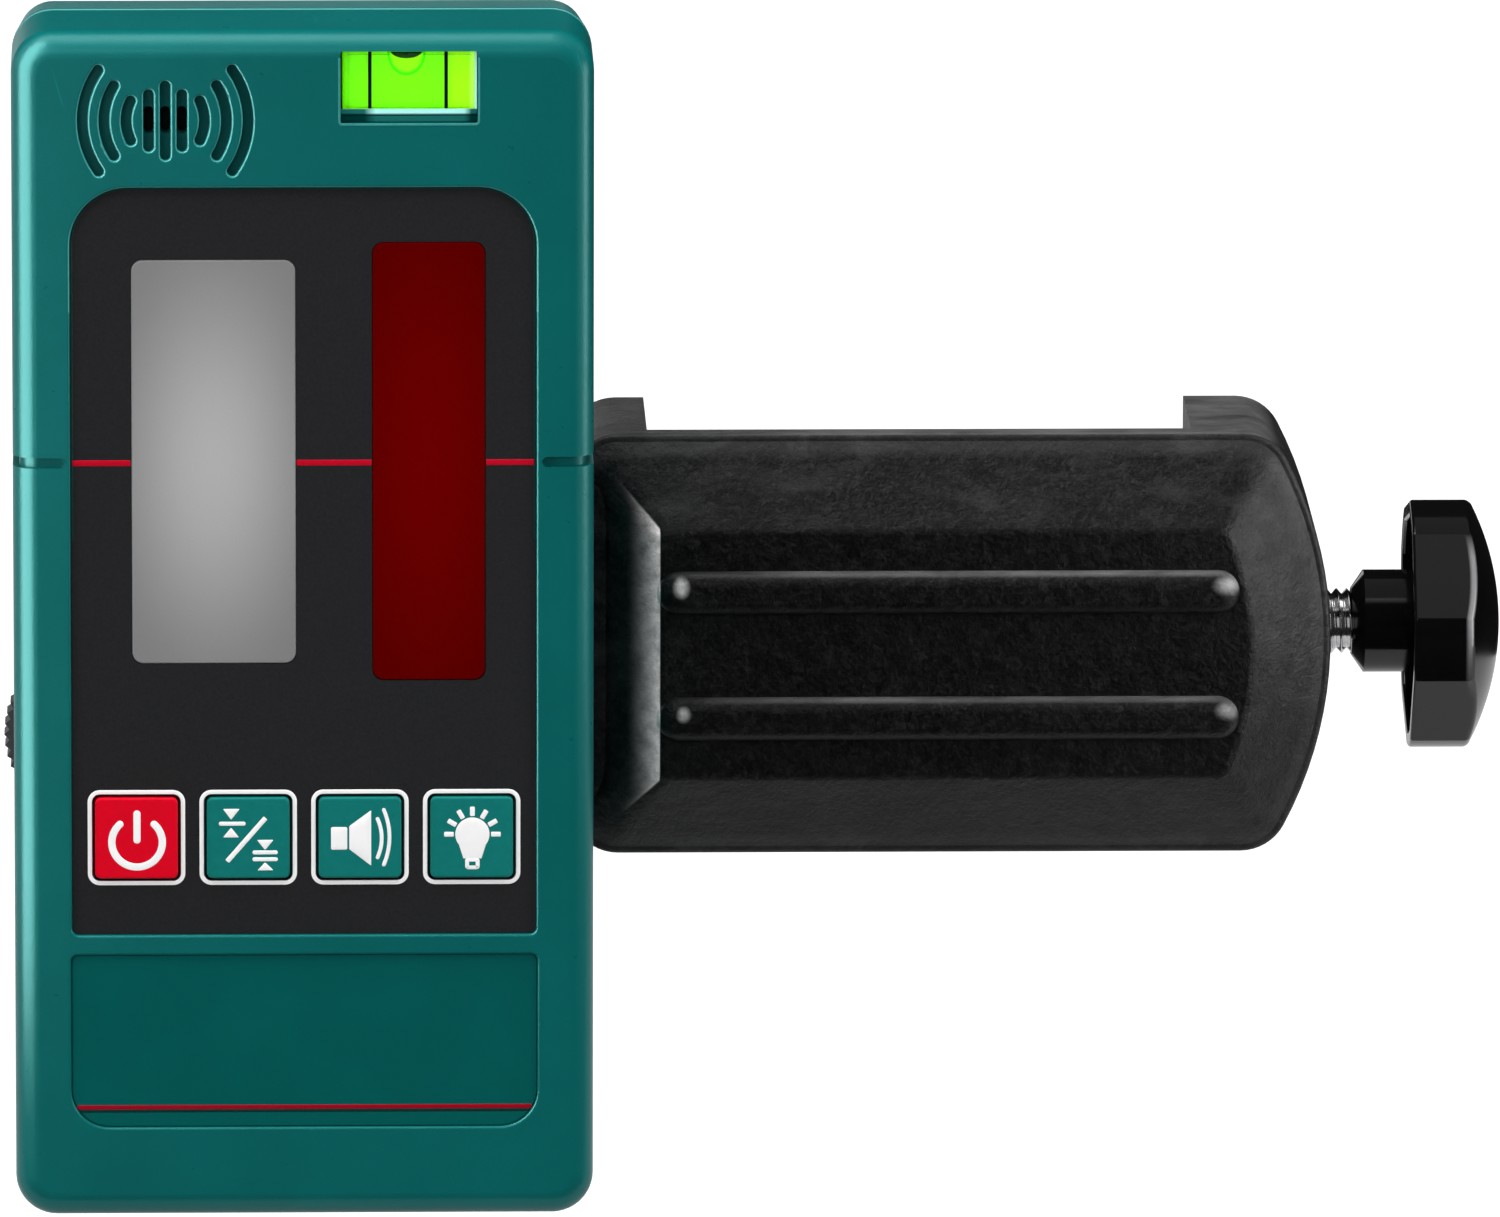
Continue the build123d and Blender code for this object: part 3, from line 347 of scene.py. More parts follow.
looks = {
    "caseTeal": {
        "colour": (0.0, 0.101, 0.0975), "rough": 0.27, "sockets": tealGloss,
        "toneColour": (0.0, 0.112, 0.108), "tone": {"scale": 60, "detail": 5, "low": 0.35, "high": 0.65},
        "scratches": [
            {"colour": (0.006, 0.17, 0.165), "scale": 1, "stretch": (90, 90, 2600), "turn": (0, 1.3, 0),
             "detail": 1, "low": 0.8, "high": 0.82},
        ],
        "wear": {"scale": 700, "detail": 3, "low": 0.2, "high": 0.8}, "wearRough": 0.3,
        "grain": [dict(fineGrain, height=0.02)],
    },
    "panelFilm": {
        "colour": (0.015, 0.0153, 0.0165), "rough": 0.3, "sockets": {"Specular IOR Level": 0.16},
        "toneColour": (0.0195, 0.02, 0.0213), "tone": {"scale": 2600, "detail": 3},
        "wear": {"scale": 300, "detail": 4}, "wearRough": 0.36,
        "grain": [fineGrain],
    },
    "redButton": capPlastic((0.71, 0.0, 0.0145), (0.66, 0.0, 0.013), (1.0, 0.45, 0.5, 1.0)),
    "tealButton": capPlastic((0.005, 0.172, 0.155), (0.004, 0.158, 0.142), (0.4, 1.0, 0.95, 1.0)),
    # pale teal for the vial window's lip: a painted highlight
    "lipHighlightTeal": {
        "colour": (0.03, 0.22, 0.21), "rough": 0.36, "sockets": tealGloss,
        "toneColour": (0.045, 0.27, 0.255), "tone": {"scale": 900, "detail": 3}, "grain": [fineGrain],
    },
    "whitePrint": {
        "colour": (0.94, 0.94, 0.94), "rough": 0.5, "sockets": {"Specular IOR Level": 0.2},
        "toneColour": (0.9, 0.9, 0.9), "tone": {"scale": 500, "detail": 3},
        "grain": [dict(fineGrain, height=0.004)],
    },
    "redPrint": ink((0.52, 0.0, 0.016), (0.46, 0.0, 0.014), 0.4, 0.12),
    "plateRed": ink((0.34, 0.0, 0.011), (0.29, 0.0, 0.009), 0.4, 0.12),
    # dark ink for the panel's top gap and the line under the plate's red line: painted shade
    "shadeInk": ink((0.0, 0.02, 0.018), (0.0, 0.03, 0.026), 0.55, 0.5),
    "blackPrint": ink((0.001, 0.002, 0.001), (0.002, 0.003, 0.002), 0.4, 0.08),
    "clampPlastic": {
        "colour": (0.001, 0.001, 0.0011), "rough": 0.3, "sockets": {"Specular IOR Level": 0.34},
        "toneColour": (0.0125, 0.0125, 0.0131),
        "tone": {"scale": 1100, "detail": 6, "rough": 0.8, "distort": 0.9, "low": 0.49, "high": 0.66},
        "wear": {"scale": 150, "detail": 8, "rough": 0.7, "distort": 0.8}, "wearRough": 0.46,
        "grain": [
            {"scale": 320, "detail": 6, "rough": 0.75, "distort": 0.6, "strength": 0.6, "height": 0.14},
            {"scale": 1500, "detail": 4, "rough": 0.65, "strength": 0.7, "height": 0.08},
        ],
    },
    "knobGloss": {
        "colour": (0.0022, 0.0022, 0.0024), "rough": 0.09, "sockets": {"Specular IOR Level": 0.5},
        "wear": {"scale": 240, "detail": 5}, "wearRough": 0.15,
        "grain": [{"scale": 160, "detail": 2, "strength": 0.15, "height": 0.02}],
    },
    "wheelBlack": {
        "colour": (0.004, 0.004, 0.0045), "rough": 0.42, "sockets": {"Specular IOR Level": 0.25},
        "toneColour": (0.01, 0.01, 0.011), "tone": {"scale": 700, "detail": 4}, "grain": [softGrain],
    },
    "padRubber": {
        "colour": (0.022, 0.022, 0.023), "rough": 0.78, "sockets": {"Specular IOR Level": 0.25},
        "toneColour": (0.035, 0.035, 0.036), "tone": {"scale": 1200, "detail": 4},
        "grain": [dict(softGrain, height=0.05)],
    },
    "sealRubber": {
        "colour": (0.012, 0.012, 0.012), "rough": 0.7,
        "toneColour": (0.02, 0.02, 0.02), "tone": {"scale": 1500, "detail": 3}, "grain": [softGrain],
    },
    "threadSteel": {
        "colour": (0.82, 0.82, 0.83), "rough": 0.08, "sockets": {"Metallic": 1.0},
        "toneColour": (0.7, 0.7, 0.71), "tone": {"scale": 800, "detail": 4},
        "wear": {"scale": 1500, "detail": 4, "stretch": (4, 1, 1)}, "wearRough": 0.18,
    },
    "screwSteel": {
        "colour": (0.5, 0.5, 0.51), "rough": 0.28, "sockets": {"Metallic": 1.0},
        "toneColour": (0.4, 0.4, 0.41), "tone": {"scale": 900, "detail": 4},
        "wear": {"scale": 1800, "detail": 4}, "wearRough": 0.4,
    },
    "insertBrass": {
        "colour": (0.66, 0.44, 0.17), "rough": 0.28, "sockets": {"Metallic": 1.0},
        "toneColour": (0.5, 0.33, 0.12), "tone": {"scale": 700, "detail": 4},
        "wear": {"scale": 1500, "detail": 4}, "wearRough": 0.42,
    },
    "contactNickel": {
        "colour": (0.62, 0.6, 0.56), "rough": 0.24, "sockets": {"Metallic": 1.0},
        "toneColour": (0.5, 0.48, 0.45), "tone": {"scale": 900, "detail": 3},
    },
    "innerBlack": {
        "colour": (0.0015, 0.0015, 0.0015), "rough": 0.5, "sockets": {"Specular IOR Level": 0.2},
        "toneColour": (0.004, 0.004, 0.004), "tone": {"scale": 900, "detail": 3}, "grain": [softGrain],
    },
}
finishes = {name: makeFinish(name, look) for name, look in looks.items()}
print("finishes made:", len(finishes))

# Case: painted highlights on its edges and seam, and painted shade in its grooves
edgeLightLook = {
    "lipHighlight": (0.045, 0.26, 0.245), "lipY": (-13.98, -13.93, -13.8, -13.68), "lipX": (-31.7, 31.7),
    "lipZ": (112.0, 142.6), "seam": (0.11, 0.4, 0.38), "seamY": (1.9, 2.1, 2.9, 3.0),
    "groove": (0.0, 0.035, 0.033), "grooveShare": 0.8, "grooveY": (-13.75, -13.2, -9.0, -8.0),
    "grooveX": (-31.0, -3.0), "grooveZ": (121.0, 142.6),
}


def addEdgeHighlightsAndGrooveShade(material, look):
    # painted shade down in the sound grooves; painted highlights on the lips where the front turns into a
    # recess and along the seam
    tree = material.node_tree
    across, depth, height = objectAxes(tree)
    grille = times(tree, insideAt(tree, across, *look["grooveX"]), insideAt(tree, height, *look["grooveZ"]))
    groove = times(tree, bandAt(tree, depth, *look["grooveY"]), grille)
    front = times(tree, insideAt(tree, across, *look["lipX"]), insideAt(tree, height, *look["lipZ"]))
    paintOver(material, times(tree, groove, look["grooveShare"]), look["groove"])
    paintOver(material, times(tree, bandAt(tree, depth, *look["lipY"]), front), look["lipHighlight"])
    paintOver(material, bandAt(tree, depth, *look["seamY"]), look["seam"])


addEdgeHighlightsAndGrooveShade(finishes["caseTeal"], edgeLightLook)

# Windows
displayLook = {
    "centre": (-10.8, 93.5), "reach": (15.5, 31.0), "colour": (0.415, 0.415, 0.418),
    "edgeShade": (0.205, 0.205, 0.208), "rough": 0.42, "sockets": {"Specular IOR Level": 0.15},
    "grain": [fineGrain],
}
sensorLook = {
    "centre": (15.1, 93.5), "reach": (14.0, 44.0), "colour": (0.138, 0.0, 0.0), "edgeShade": (0.082, 0.0, 0.0),
    "rough": 0.3, "sockets": {"Specular IOR Level": 0.1, "Specular Tint": (1.0, 0.05, 0.05, 1.0)},
    "grain": [fineGrain],
}


def makeWindow(name, look):
    # colour darkens with the distance from the window's middle: painted shade towards its frame
    material = makeFinish(name, look)
    tree = material.node_tree
    fall = remap(tree, ringDistance(tree, look["centre"], look["reach"]), 0.0, 1.0, ease="SMOOTHSTEP")
    paintOver(material, fall, look["edgeShade"])
    return material


finishes["displayGrey"] = makeWindow("displayGrey", displayLook)
finishes["sensorRed"] = makeWindow("sensorRed", sensorLook)

# Lower plate
plateLook = {
    "colour": (0.0, 0.084, 0.079), "rough": 0.36, "toneColour": (0.0, 0.094, 0.088),
    "tone": {"scale": 80, "detail": 5}, "grain": [fineGrain],
    "sockets": {"Specular IOR Level": 0.3, "Specular Tint": (0.3, 1.0, 0.95, 1.0)},
    "band": (0.0, 0.092, 0.086), "bandTop": 13.2,
}


def makePlateFilm(look):
    # dark teal film; the moulded band below the red line is a little paler
    material = makeFinish("plateFilm", look)
    tree = material.node_tree
    below = stepAt(tree, objectAxes(tree)["Z"], look["bandTop"] + sharp, look["bandTop"] - sharp)
    paintOver(material, below, look["band"])
    return material


finishes["plateFilm"] = makePlateFilm(plateLook)

# Vial: the bubble's shape serves its finish here and its surface further down
bubbleShape = {"top": (12.45, -10.5, 143.5), "radius": 2.35, "drop": 2.95, "reach": 2.28, "flat": 16,
               "steps": (40, 25)}
# the emission here makes the liquid and the bubble glow: painted light
dyeGlow = {"rough": 0.12, "sockets": {"Specular IOR Level": 0.1, "Emission Strength": 0.2}}
liquidLook = {
    **dyeGlow, "colour": (0.15, 0.9, 0.0), "right": (0.33, 0.92, 0.0), "rightX": (16.6, 18.2),
    "cloud": {"scale": 240, "detail": 3, "low": 0.2, "high": 0.9}, "cloudLeast": 0.75,
    "streak": (0.1, 0.62, 0.0), "streakX": (5.0, 5.5, 5.5, 5.9), "streakShare": 0.7,
    "end": (0.5, 0.98, 0.12), "endX": (19.9, 20.5),
}
airLook = {
    **dyeGlow, "colour": (0.24, 0.92, 0.0), "rim": (0.012, 0.82, 0.0), "rimFrom": (0.72, 0.95),
    "cap": (0.0, 0.03, 0.0), "capAt": (12.45, 143.75), "capReach": (1.95, 1.0), "capFrom": (1.02, 0.98),
}
blockLook = {
    "colour": (0.95, 1.0, 0.98), "rough": 0.03, "sockets": {"IOR": 1.1, "Specular IOR Level": 0.1},
    "clearZ": (136.62, 136.7), "paleGlint": (0.4, 0.86, 0.82), "paleZ": (135.95, 136.2),
    "line": (0.0, 0.012, 0.012), "lineZ": (135.8, 135.86), "foot": (0.01, 0.12, 0.11),
    "shade": (0.0, 0.03, 0.028), "litX": (7.4, 8.8, 19.4, 20.2),
    "wall": (0.55, 0.95, 0.85), "wallX": (20.6, 20.7), "glow": 0.1,
}


def glowInOwnColour(material):
    # the dyed liquid and its bubble glow a little in their own colour: painted light
    shader = shaderOf(material)
    painted = shader.inputs["Base Color"].links[0].from_socket
    material.node_tree.links.new(painted, shader.inputs["Emission Color"])
    return material


def makeVialLiquid(look):
    # painted light: yellower towards the right end, where more light comes through, with a dim streak near
    # the left end
    material = makeFinish("vialLiquid", look)
    tree = material.node_tree
    across = objectAxes(tree)["X"]
    cloud = remap(tree, noiseAt(tree, look["cloud"]), 0.0, 1.0, look["cloudLeast"], 1.0)
    streak = times(tree, bandAt(tree, across, *look["streakX"]), look["streakShare"])
    paintOver(material, times(tree, stepAt(tree, across, *look["rightX"]), cloud), look["right"])
    paintOver(material, streak, look["streak"])
    # a painted highlight at the right end
    paintOver(material, stepAt(tree, across, *look["endX"]), look["end"])
    return glowInOwnColour(material)


def makeVialAir(look, shape):
    # painted light and shade: bright inside, a greener rim low down, and a dark cap where the air meets the
    # top wall
    material = makeFinish("vialBubble", look)
    tree = material.node_tree
    bubble = ringDistance(tree, shape["top"][::2], (shape["radius"], shape["drop"]))
    cap = ringDistance(tree, look["capAt"], look["capReach"])
    paintOver(material, remap(tree, bubble, *look["rimFrom"], ease="SMOOTHSTEP"), look["rim"])
    paintOver(material, remap(tree, cap, *look["capFrom"], ease="SMOOTHSTEP"), look["cap"])
    return glowInOwnColour(material)


def makeVialClear(look):
    # painted light and shade: clear round the chamber; below it the block's foot shows a pale line, a dark
    # line and teal
    material = makeFinish("vialClear", look)
    tree = material.node_tree
    across, _, height = objectAxes(tree)
    lit = bandAt(tree, across, *look["litX"])
    foot = mixColours(tree, lit, look["shade"], look["foot"])
    paleGlint = mixColours(tree, lit, look["foot"], look["paleGlint"])
    low = mixColours(tree, stepAt(tree, height, *look["lineZ"]), foot, look["line"])
    strip = mixColours(tree, stepAt(tree, height, *look["paleZ"]), low, paleGlint)
    above = stepAt(tree, height, *look["clearZ"])
    # a painted highlight down the right wall
    wall = times(tree, stepAt(tree, across, *look["wallX"]), above)
    solid = mixColours(tree, wall, strip, look["wall"])
    clear = combine(tree, "SUBTRACT", above, wall)
    sockets = shaderOf(material).inputs
    tree.links.new(mixColours(tree, clear, solid, look["colour"]), sockets["Base Color"])
    # the painted foot and wall glow a little: painted light
    tree.links.new(solid, sockets["Emission Color"])
    tree.links.new(remap(tree, clear, 0.0, 1.0, look["glow"], 0.0), sockets["Emission Strength"])
    tree.links.new(clear, sockets["Transmission Weight"])
    return material


finishes["vialLiquid"] = makeVialLiquid(liquidLook)
finishes["vialClear"] = makeVialClear(blockLook)
finishes["vialAir"] = makeVialAir(airLook, bubbleShape)

# Battery cells
cellLook = {"colour": (0.012, 0.012, 0.014), "rough": 0.3, "grain": [softGrain],
            "collar": (0.55, 0.3, 0.1), "collarX": 12.0}


def makeCellJacket(look):
    # printed jacket: dark body and a copper collar towards the positive end
    material = makeFinish("cellJacket", look)
    tree = material.node_tree
    collar = stepAt(tree, objectAxes(tree)["X"], look["collarX"], look["collarX"] + sharp)
    paintOver(material, collar, look["collar"])
    return material


finishes["cellJacket"] = makeCellJacket(cellLook)

# Clamp: smears, dust and painted top light on its plastic, and painted highlights on crest, rims, rib ends
# and knob
smearLook = {
    "noise": {"scale": 150, "detail": 10, "rough": 0.74, "distort": 0.7, "stretch": (0.5, 1, 1),
              "low": 0.48, "high": 0.72},
    "colour": (0.017, 0.017, 0.018), "slopeY": (10.6, 11.6),
    # rim: a paler band along the outer edge of the sloping faces, a painted highlight
    "rim": (0.034, 0.034, 0.035), "rimY": (15.7, 16.5), "rimLeast": 0.35,
}
dustAndTopLightLook = {
    "noise": {"scale": 230, "detail": 6, "rough": 0.7, "stretch": (0.4, 1, 1), "low": 0.2, "high": 0.66},
    "colour": (0.1, 0.1, 0.102), "facing": (0.62, 0.95), "shelterX": (44.0, 62.0), "sheltered": 0.05,
}
highlightSpecks = {"scale": 520, "detail": 5, "rough": 0.6, "low": 0.0, "high": 0.62}
crestHighlightLook = {
    "edgeX": 43.65, "midZ": 64.3, "halfZ": 15.35, "slope": 1.08, "frontY": 17.0, "highlight": (1.0, 0.92, 0.92),
    "crestX": (39.3, 43.2, 43.5, 43.64), "crestEnd": (0.2, -0.2), "mitre": (-2.6, -0.2, 0.05, 0.5),
    "fadeX": (36.0, 43.0, 43.5, 43.64), "fadePower": 2.0, "power": 2.3,
}
ribHighlights = {  # a spot's place and reach in X and Z, and its grey
    "frontY": 10.3, "soft": (1.1, 0.1),
    "spots": [((46.1, 73.1), (1.15, 1.45), 0.56), ((46.4, 57.3), (1.0, 1.1), 0.48),
              ((112.9, 73.2), (2.2, 1.35), 0.36), ((113.0, 57.6), (2.0, 1.3), 0.22)],
}
knobRimHighlight = {"top": (147.1, 29.7, 64.3), "domeRadius": 32.07, "band": (-0.8, -0.42, -0.16, -0.03),
           "z": (57.0, 67.0, 74.5, 77.0), "highlight": (0.19, 0.19, 0.195)}


def addSmears(material, look):
    # pale flow smears on the sloping faces only, and a painted highlight band along their outer edge
    tree = material.node_tree
    depth = objectAxes(tree)["Y"]
    pattern = noiseAt(tree, look["noise"])
    paintOver(material, times(tree, pattern, stepAt(tree, depth, *look["slopeY"])), look["colour"])
    highlight = remap(tree, pattern, 0.0, 1.0, look["rimLeast"], 1.0)
    paintOver(material, times(tree, highlight, stepAt(tree, depth, *look["rimY"])), look["rim"])


def addDustAndTopLight(material, look):
    # faces that look up painted paler, as dust and as painted light from above; less of it beside the
    # receiver
    tree = material.node_tree
    parts = tree.nodes.new("ShaderNodeSeparateXYZ")
    tree.links.new(tree.nodes.new("ShaderNodeNewGeometry").outputs["Normal"], parts.inputs["Vector"])
    lying = remap(tree, parts.outputs["Z"], *look["facing"], ease="SMOOTHSTEP")
    away = stepAt(tree, objectAxes(tree)["X"], *look["shelterX"])
    exposed = remap(tree, away, 0.0, 1.0, look["sheltered"], 1.0)
    paintOver(material, times(tree, lying, exposed, noiseAt(tree, look["noise"])), look["colour"])


def paintSpeckledHighlight(material, amount, highlight):
    # the painted highlight's colour, broken up by specks
    tree = material.node_tree
    paintOver(material, times(tree, amount, noiseAt(tree, highlightSpecks)), highlight)


def addCrestHighlight(material, look):
    # painted highlight along the pillow's left crest and up and down its two mitres;
    # d = |z - mid| - half - slope * (edge - x) is below 0 on the left face and 0 on the mitres
    tree = material.node_tree
    across, depth, height = objectAxes(tree)
    rise = combine(tree, "ABSOLUTE", combine(tree, "SUBTRACT", height, look["midZ"] * mm), 0.0)
    lean = times(tree, combine(tree, "SUBTRACT", look["edgeX"] * mm, across), look["slope"])
    off = combine(tree, "SUBTRACT", combine(tree, "SUBTRACT", rise, look["halfZ"] * mm), lean)
    crest = times(tree, bandAt(tree, across, *look["crestX"]), stepAt(tree, off, *look["crestEnd"]))
    fade = combine(tree, "POWER", bandAt(tree, across, *look["fadeX"]), look["fadePower"])
    mitre = times(tree, bandAt(tree, off, *look["mitre"]), fade)
    highlightMask = combine(tree, "POWER", combine(tree, "MAXIMUM", crest, mitre), look["power"])
    front = combine(tree, "LESS_THAN", depth, look["frontY"] * mm)
    paintSpeckledHighlight(material, times(tree, highlightMask, front), look["highlight"])


def addRibHighlights(material, look):
    # painted highlight spots at the ends of the two ribs
    tree = material.node_tree
    proud = combine(tree, "LESS_THAN", objectAxes(tree)["Y"], look["frontY"] * mm)
    for place, reach, grey in look["spots"]:
        highlightMask = remap(tree, ringDistance(tree, place, reach), *look["soft"], ease="SMOOTHSTEP")
        paintSpeckledHighlight(material, times(tree, highlightMask, proud), (grey, grey, grey))


def addKnobRimHighlight(material, look):
    # painted highlight where the knob's sides turn into its dome;
    # d = |point - dome's centre| - dome's radius is 0 on the dome and below 0 on the sides
    tree = material.node_tree
    topX, topY, topZ = look["top"]
    gap = tree.nodes.new("ShaderNodeVectorMath")
    gap.operation = "DISTANCE"
    gap.inputs[1].default_value = ((topX - look["domeRadius"]) * mm, topY * mm, topZ * mm)
    tree.links.new(objectPlace(tree), gap.inputs[0])
    off = combine(tree, "SUBTRACT", gap.outputs["Value"], look["domeRadius"] * mm)
    upper = bandAt(tree, objectAxes(tree)["Z"], *look["z"])
    paintOver(material, times(tree, bandAt(tree, off, *look["band"]), upper), look["highlight"])


addSmears(finishes["clampPlastic"], smearLook)
addDustAndTopLight(finishes["clampPlastic"], dustAndTopLightLook)
addCrestHighlight(finishes["clampPlastic"], crestHighlightLook)
addRibHighlights(finishes["clampPlastic"], ribHighlights)
addKnobRimHighlight(finishes["knobGloss"], knobRimHighlight)

# Circuit boards
boardLook = {"colour": (0.004, 0.06, 0.018), "rough": 0.32, "grain": [fineGrain],
             "track": (0.012, 0.12, 0.04), "trackWidth": 0.08, "pitch": 420.0}


def makeBoard(look):
    # solder mask with paler tracks under it
    material = makeFinish("boardGreen", look)
    tree = material.node_tree
    tracks = tree.nodes.new("ShaderNodeTexVoronoi")
    tracks.feature = "DISTANCE_TO_EDGE"
    tracks.inputs["Scale"].default_value = look["pitch"]
    tree.links.new(objectPlace(tree), tracks.inputs["Vector"])
    paintOver(material, remap(tree, tracks.outputs["Distance"], look["trackWidth"], 0.0), look["track"])
    return material


finishes["boardGreen"] = makeBoard(boardLook)

nodeFinishes = {
    "caseTeal": ["front_shell", "rear_shell", "battery_door"],
    "panelFilm": ["front_panel"],
    "displayGrey": ["lcd_window"],
    "sensorRed": ["sensor_window"],
    "plateFilm": ["name_plate"],
    "redButton": ["power_button"],
    "tealButton": ["accuracy_button", "volume_button", "light_button"],
    "sealRubber": ["case_seal"],
    "screwSteel": ["case_screws", "retainer_screws", "screw_nut", "jaw_retainer", "stud_clip", "fixing_stud"],
    "boardGreen": ["main_board", "sensor_board"],
    "innerBlack": ["lcd_module", "tact_switches", "buzzer"],
    "vialClear": ["vial_block"],
    "vialLiquid": ["vial_liquid"],
    "vialAir": ["vial_bubble"],
    "insertBrass": ["mount_insert"],
    "clampPlastic": ["clamp_body", "moving_jaw"],
    "padRubber": ["fixed_jaw_pad", "moving_jaw_pad"],
    "knobGloss": ["clamp_knob"],
    "threadSteel": ["clamp_screw"],
    "wheelBlack": ["fixing_wheel"],
    "cellJacket": ["battery_cells"],
    "contactNickel": ["battery_contacts"],
}
for finishName, names in nodeFinishes.items():
    for name in names:
        cadNodes[name].data.materials.clear()
        cadNodes[name].data.materials.append(finishes[finishName])
print("finishes on", sum(len(names) for names in nodeFinishes.values()), "nodes")

# Printed frames round the buttons
buttons = {"x": {"power": -20.25, "accuracy": -6.75, "volume": 6.75, "light": 20.25}, "z": 47.2,
           "panelY": -13.4, "capY": -13.9, "frame": 11.25, "frameCorner": 1.2, "frameStroke": 0.52}
for name, x in buttons["x"].items():
    ring = roundedBox(buttons["frame"], buttons["frame"], buttons["frameCorner"], (x, buttons["z"]))
    makePiece(f"{name}Frame", [strokeSurface(ring, buttons["frameStroke"], buttons["panelY"], closed=True)],
              "receiver", "whitePrint")


# Symbols on the caps, in millimetres from each button's centre
def atButton(points, button):
    return np.asarray(points, float) + (buttons["x"][button], buttons["z"])


def capStroke(path, button, width, **ends):
    return strokeSurface(atButton(path, button), width, buttons["capY"], **ends)


def capFill(outline, button):
    return fillSurface(atButton(outline, button), buttons["capY"])


powerSymbol = {"centre": (0.07, -0.48), "radius": 3.05, "stroke": 0.88, "gap": 42.7, "bar": (3.04, -0.18),
               "steps": 64}
powerArc = arcPath(powerSymbol["centre"], powerSymbol["radius"], 90 + powerSymbol["gap"],
                   450 - powerSymbol["gap"], powerSymbol["steps"])
powerBar = [(powerSymbol["centre"][0], z) for z in powerSymbol["bar"]]
powerPrints = [capStroke(path, "power", powerSymbol["stroke"]) for path in (powerArc, powerBar)]
makePiece("powerSymbol", powerPrints, "power_button", "whitePrint")

accuracySymbol = {
    "slash": [(-2.55, -2.87), (2.1, 2.51)], "slashStroke": 0.6, "slashSquare": 6, "corner": 0.16,
    "triangles": [
        [(-3.05, 3.63), (-1.02, 3.63), (-2.07, 2.28)], [(-3.05, 0.1), (-1.1, 0.1), (-2.07, 1.32)],
        [(1.05, -0.22), (3.05, -0.22), (2.03, -1.48)], [(1.1, -3.99), (3.05, -3.99), (2.03, -2.99)],
    ],
    "bars": [(-3.3, -0.56, 1.8), (0.75, 3.32, -1.77), (0.75, 3.32, -2.62)], "barStroke": 0.5,
}
accuracyPrints = [capStroke(accuracySymbol["slash"], "accuracy", accuracySymbol["slashStroke"],
                            square=accuracySymbol["slashSquare"])]
for triangle in accuracySymbol["triangles"]:
    accuracyPrints.append(capFill(roundCorners(triangle, accuracySymbol["corner"]), "accuracy"))
for left, right, z in accuracySymbol["bars"]:
    accuracyPrints.append(capStroke([(left, z), (right, z)], "accuracy", accuracySymbol["barStroke"]))
makePiece("accuracySymbol", accuracyPrints, "accuracy_button", "whitePrint")

volumeSymbol = {
    "magnet": {"width": 1.96, "height": 2.8, "corner": 0.2, "centre": (-2.52, -0.06)},
    "horn": [(-1.3, 1.45), (1.35, 3.42), (1.35, -3.47), (-1.3, -1.4)], "hornCorner": 0.14,
    "waves": [((-3.28, -0.05), 5.9, 23.8), ((-5.14, 0.07), 8.7, 22.9)], "stroke": 0.46,
}
volumePrints = [
    capFill(roundedBox(**volumeSymbol["magnet"]), "volume"),
    capFill(roundCorners(volumeSymbol["horn"], volumeSymbol["hornCorner"]), "volume"),
]
for centre, radius, half in volumeSymbol["waves"]:
    volumePrints.append(capStroke(arcPath(centre, radius, half, -half), "volume", volumeSymbol["stroke"]))
makePiece("volumeSymbol", volumePrints, "volume_button", "whitePrint")

lightSymbol = {
    "globe": (0.08, 0.4), "radius": 2.07, "globeArc": (-38, 218, 60), "neck": 1.1, "neckZ": -2.6,
    "base": {"width": 1.28, "height": 0.96, "corner": 0.16, "centre": (0.08, -3.22)}, "baseStroke": 0.48,
    "rays": (2.25, 3.42), "rayTurns": (0, 180, 7), "rayStroke": 0.6, "raySquare": 5,
}


def bulbOutline(look):
    # circle from the neck's right side over the top to its left side, then straight down to the neck's foot
    ring = arcPath(look["globe"], look["radius"], *look["globeArc"])
    foot = np.array([(-look["neck"], look["neckZ"]), (look["neck"], look["neckZ"])]) + (look["globe"][0], 0)
    return np.vstack([ring, foot])


lightPrints = [
    capFill(bulbOutline(lightSymbol), "light"),
    capStroke(roundedBox(**lightSymbol["base"]), "light", lightSymbol["baseStroke"], closed=True),
]
for turn in np.radians(np.linspace(*lightSymbol["rayTurns"])):
    ray = np.outer(lightSymbol["rays"], (math.cos(turn), math.sin(turn))) + lightSymbol["globe"]
    lightPrints.append(capStroke(ray, "light", lightSymbol["rayStroke"], square=lightSymbol["raySquare"]))
makePiece("lightSymbol", lightPrints, "light_button", "whitePrint")
print("button prints made")

# Dark stroke round the top of the panel, between its film and the case: the gap and the painted shadow of the
# case's lip
panelGapShadow = {"x": (-27.87, 27.87), "z": (84.0, 127.02), "corner": 6.82, "trim": 4, "steps": (20, 20, 20),
            "stroke": 0.3}
gapShadowStroke = strokeSurface(archPath(panelGapShadow), panelGapShadow["stroke"], buttons["panelY"])
makePiece("panelGapShadow", [gapShadowStroke], "receiver", "shadeInk")

# Red index line across the panel, between the windows
indexLine = {"z": 93.4, "stroke": 0.72, "square": 12, "spans": [(-27.85, -20.8), (-0.8, 8.2), (22.0, 27.85)]}
indexStrokes = []
for span in indexLine["spans"]:
    ends = [(x, indexLine["z"]) for x in span]
    indexStrokes.append(strokeSurface(ends, indexLine["stroke"], buttons["panelY"],
                                      square=indexLine["square"]))
makePiece("indexLine", indexStrokes, "receiver", "redPrint")

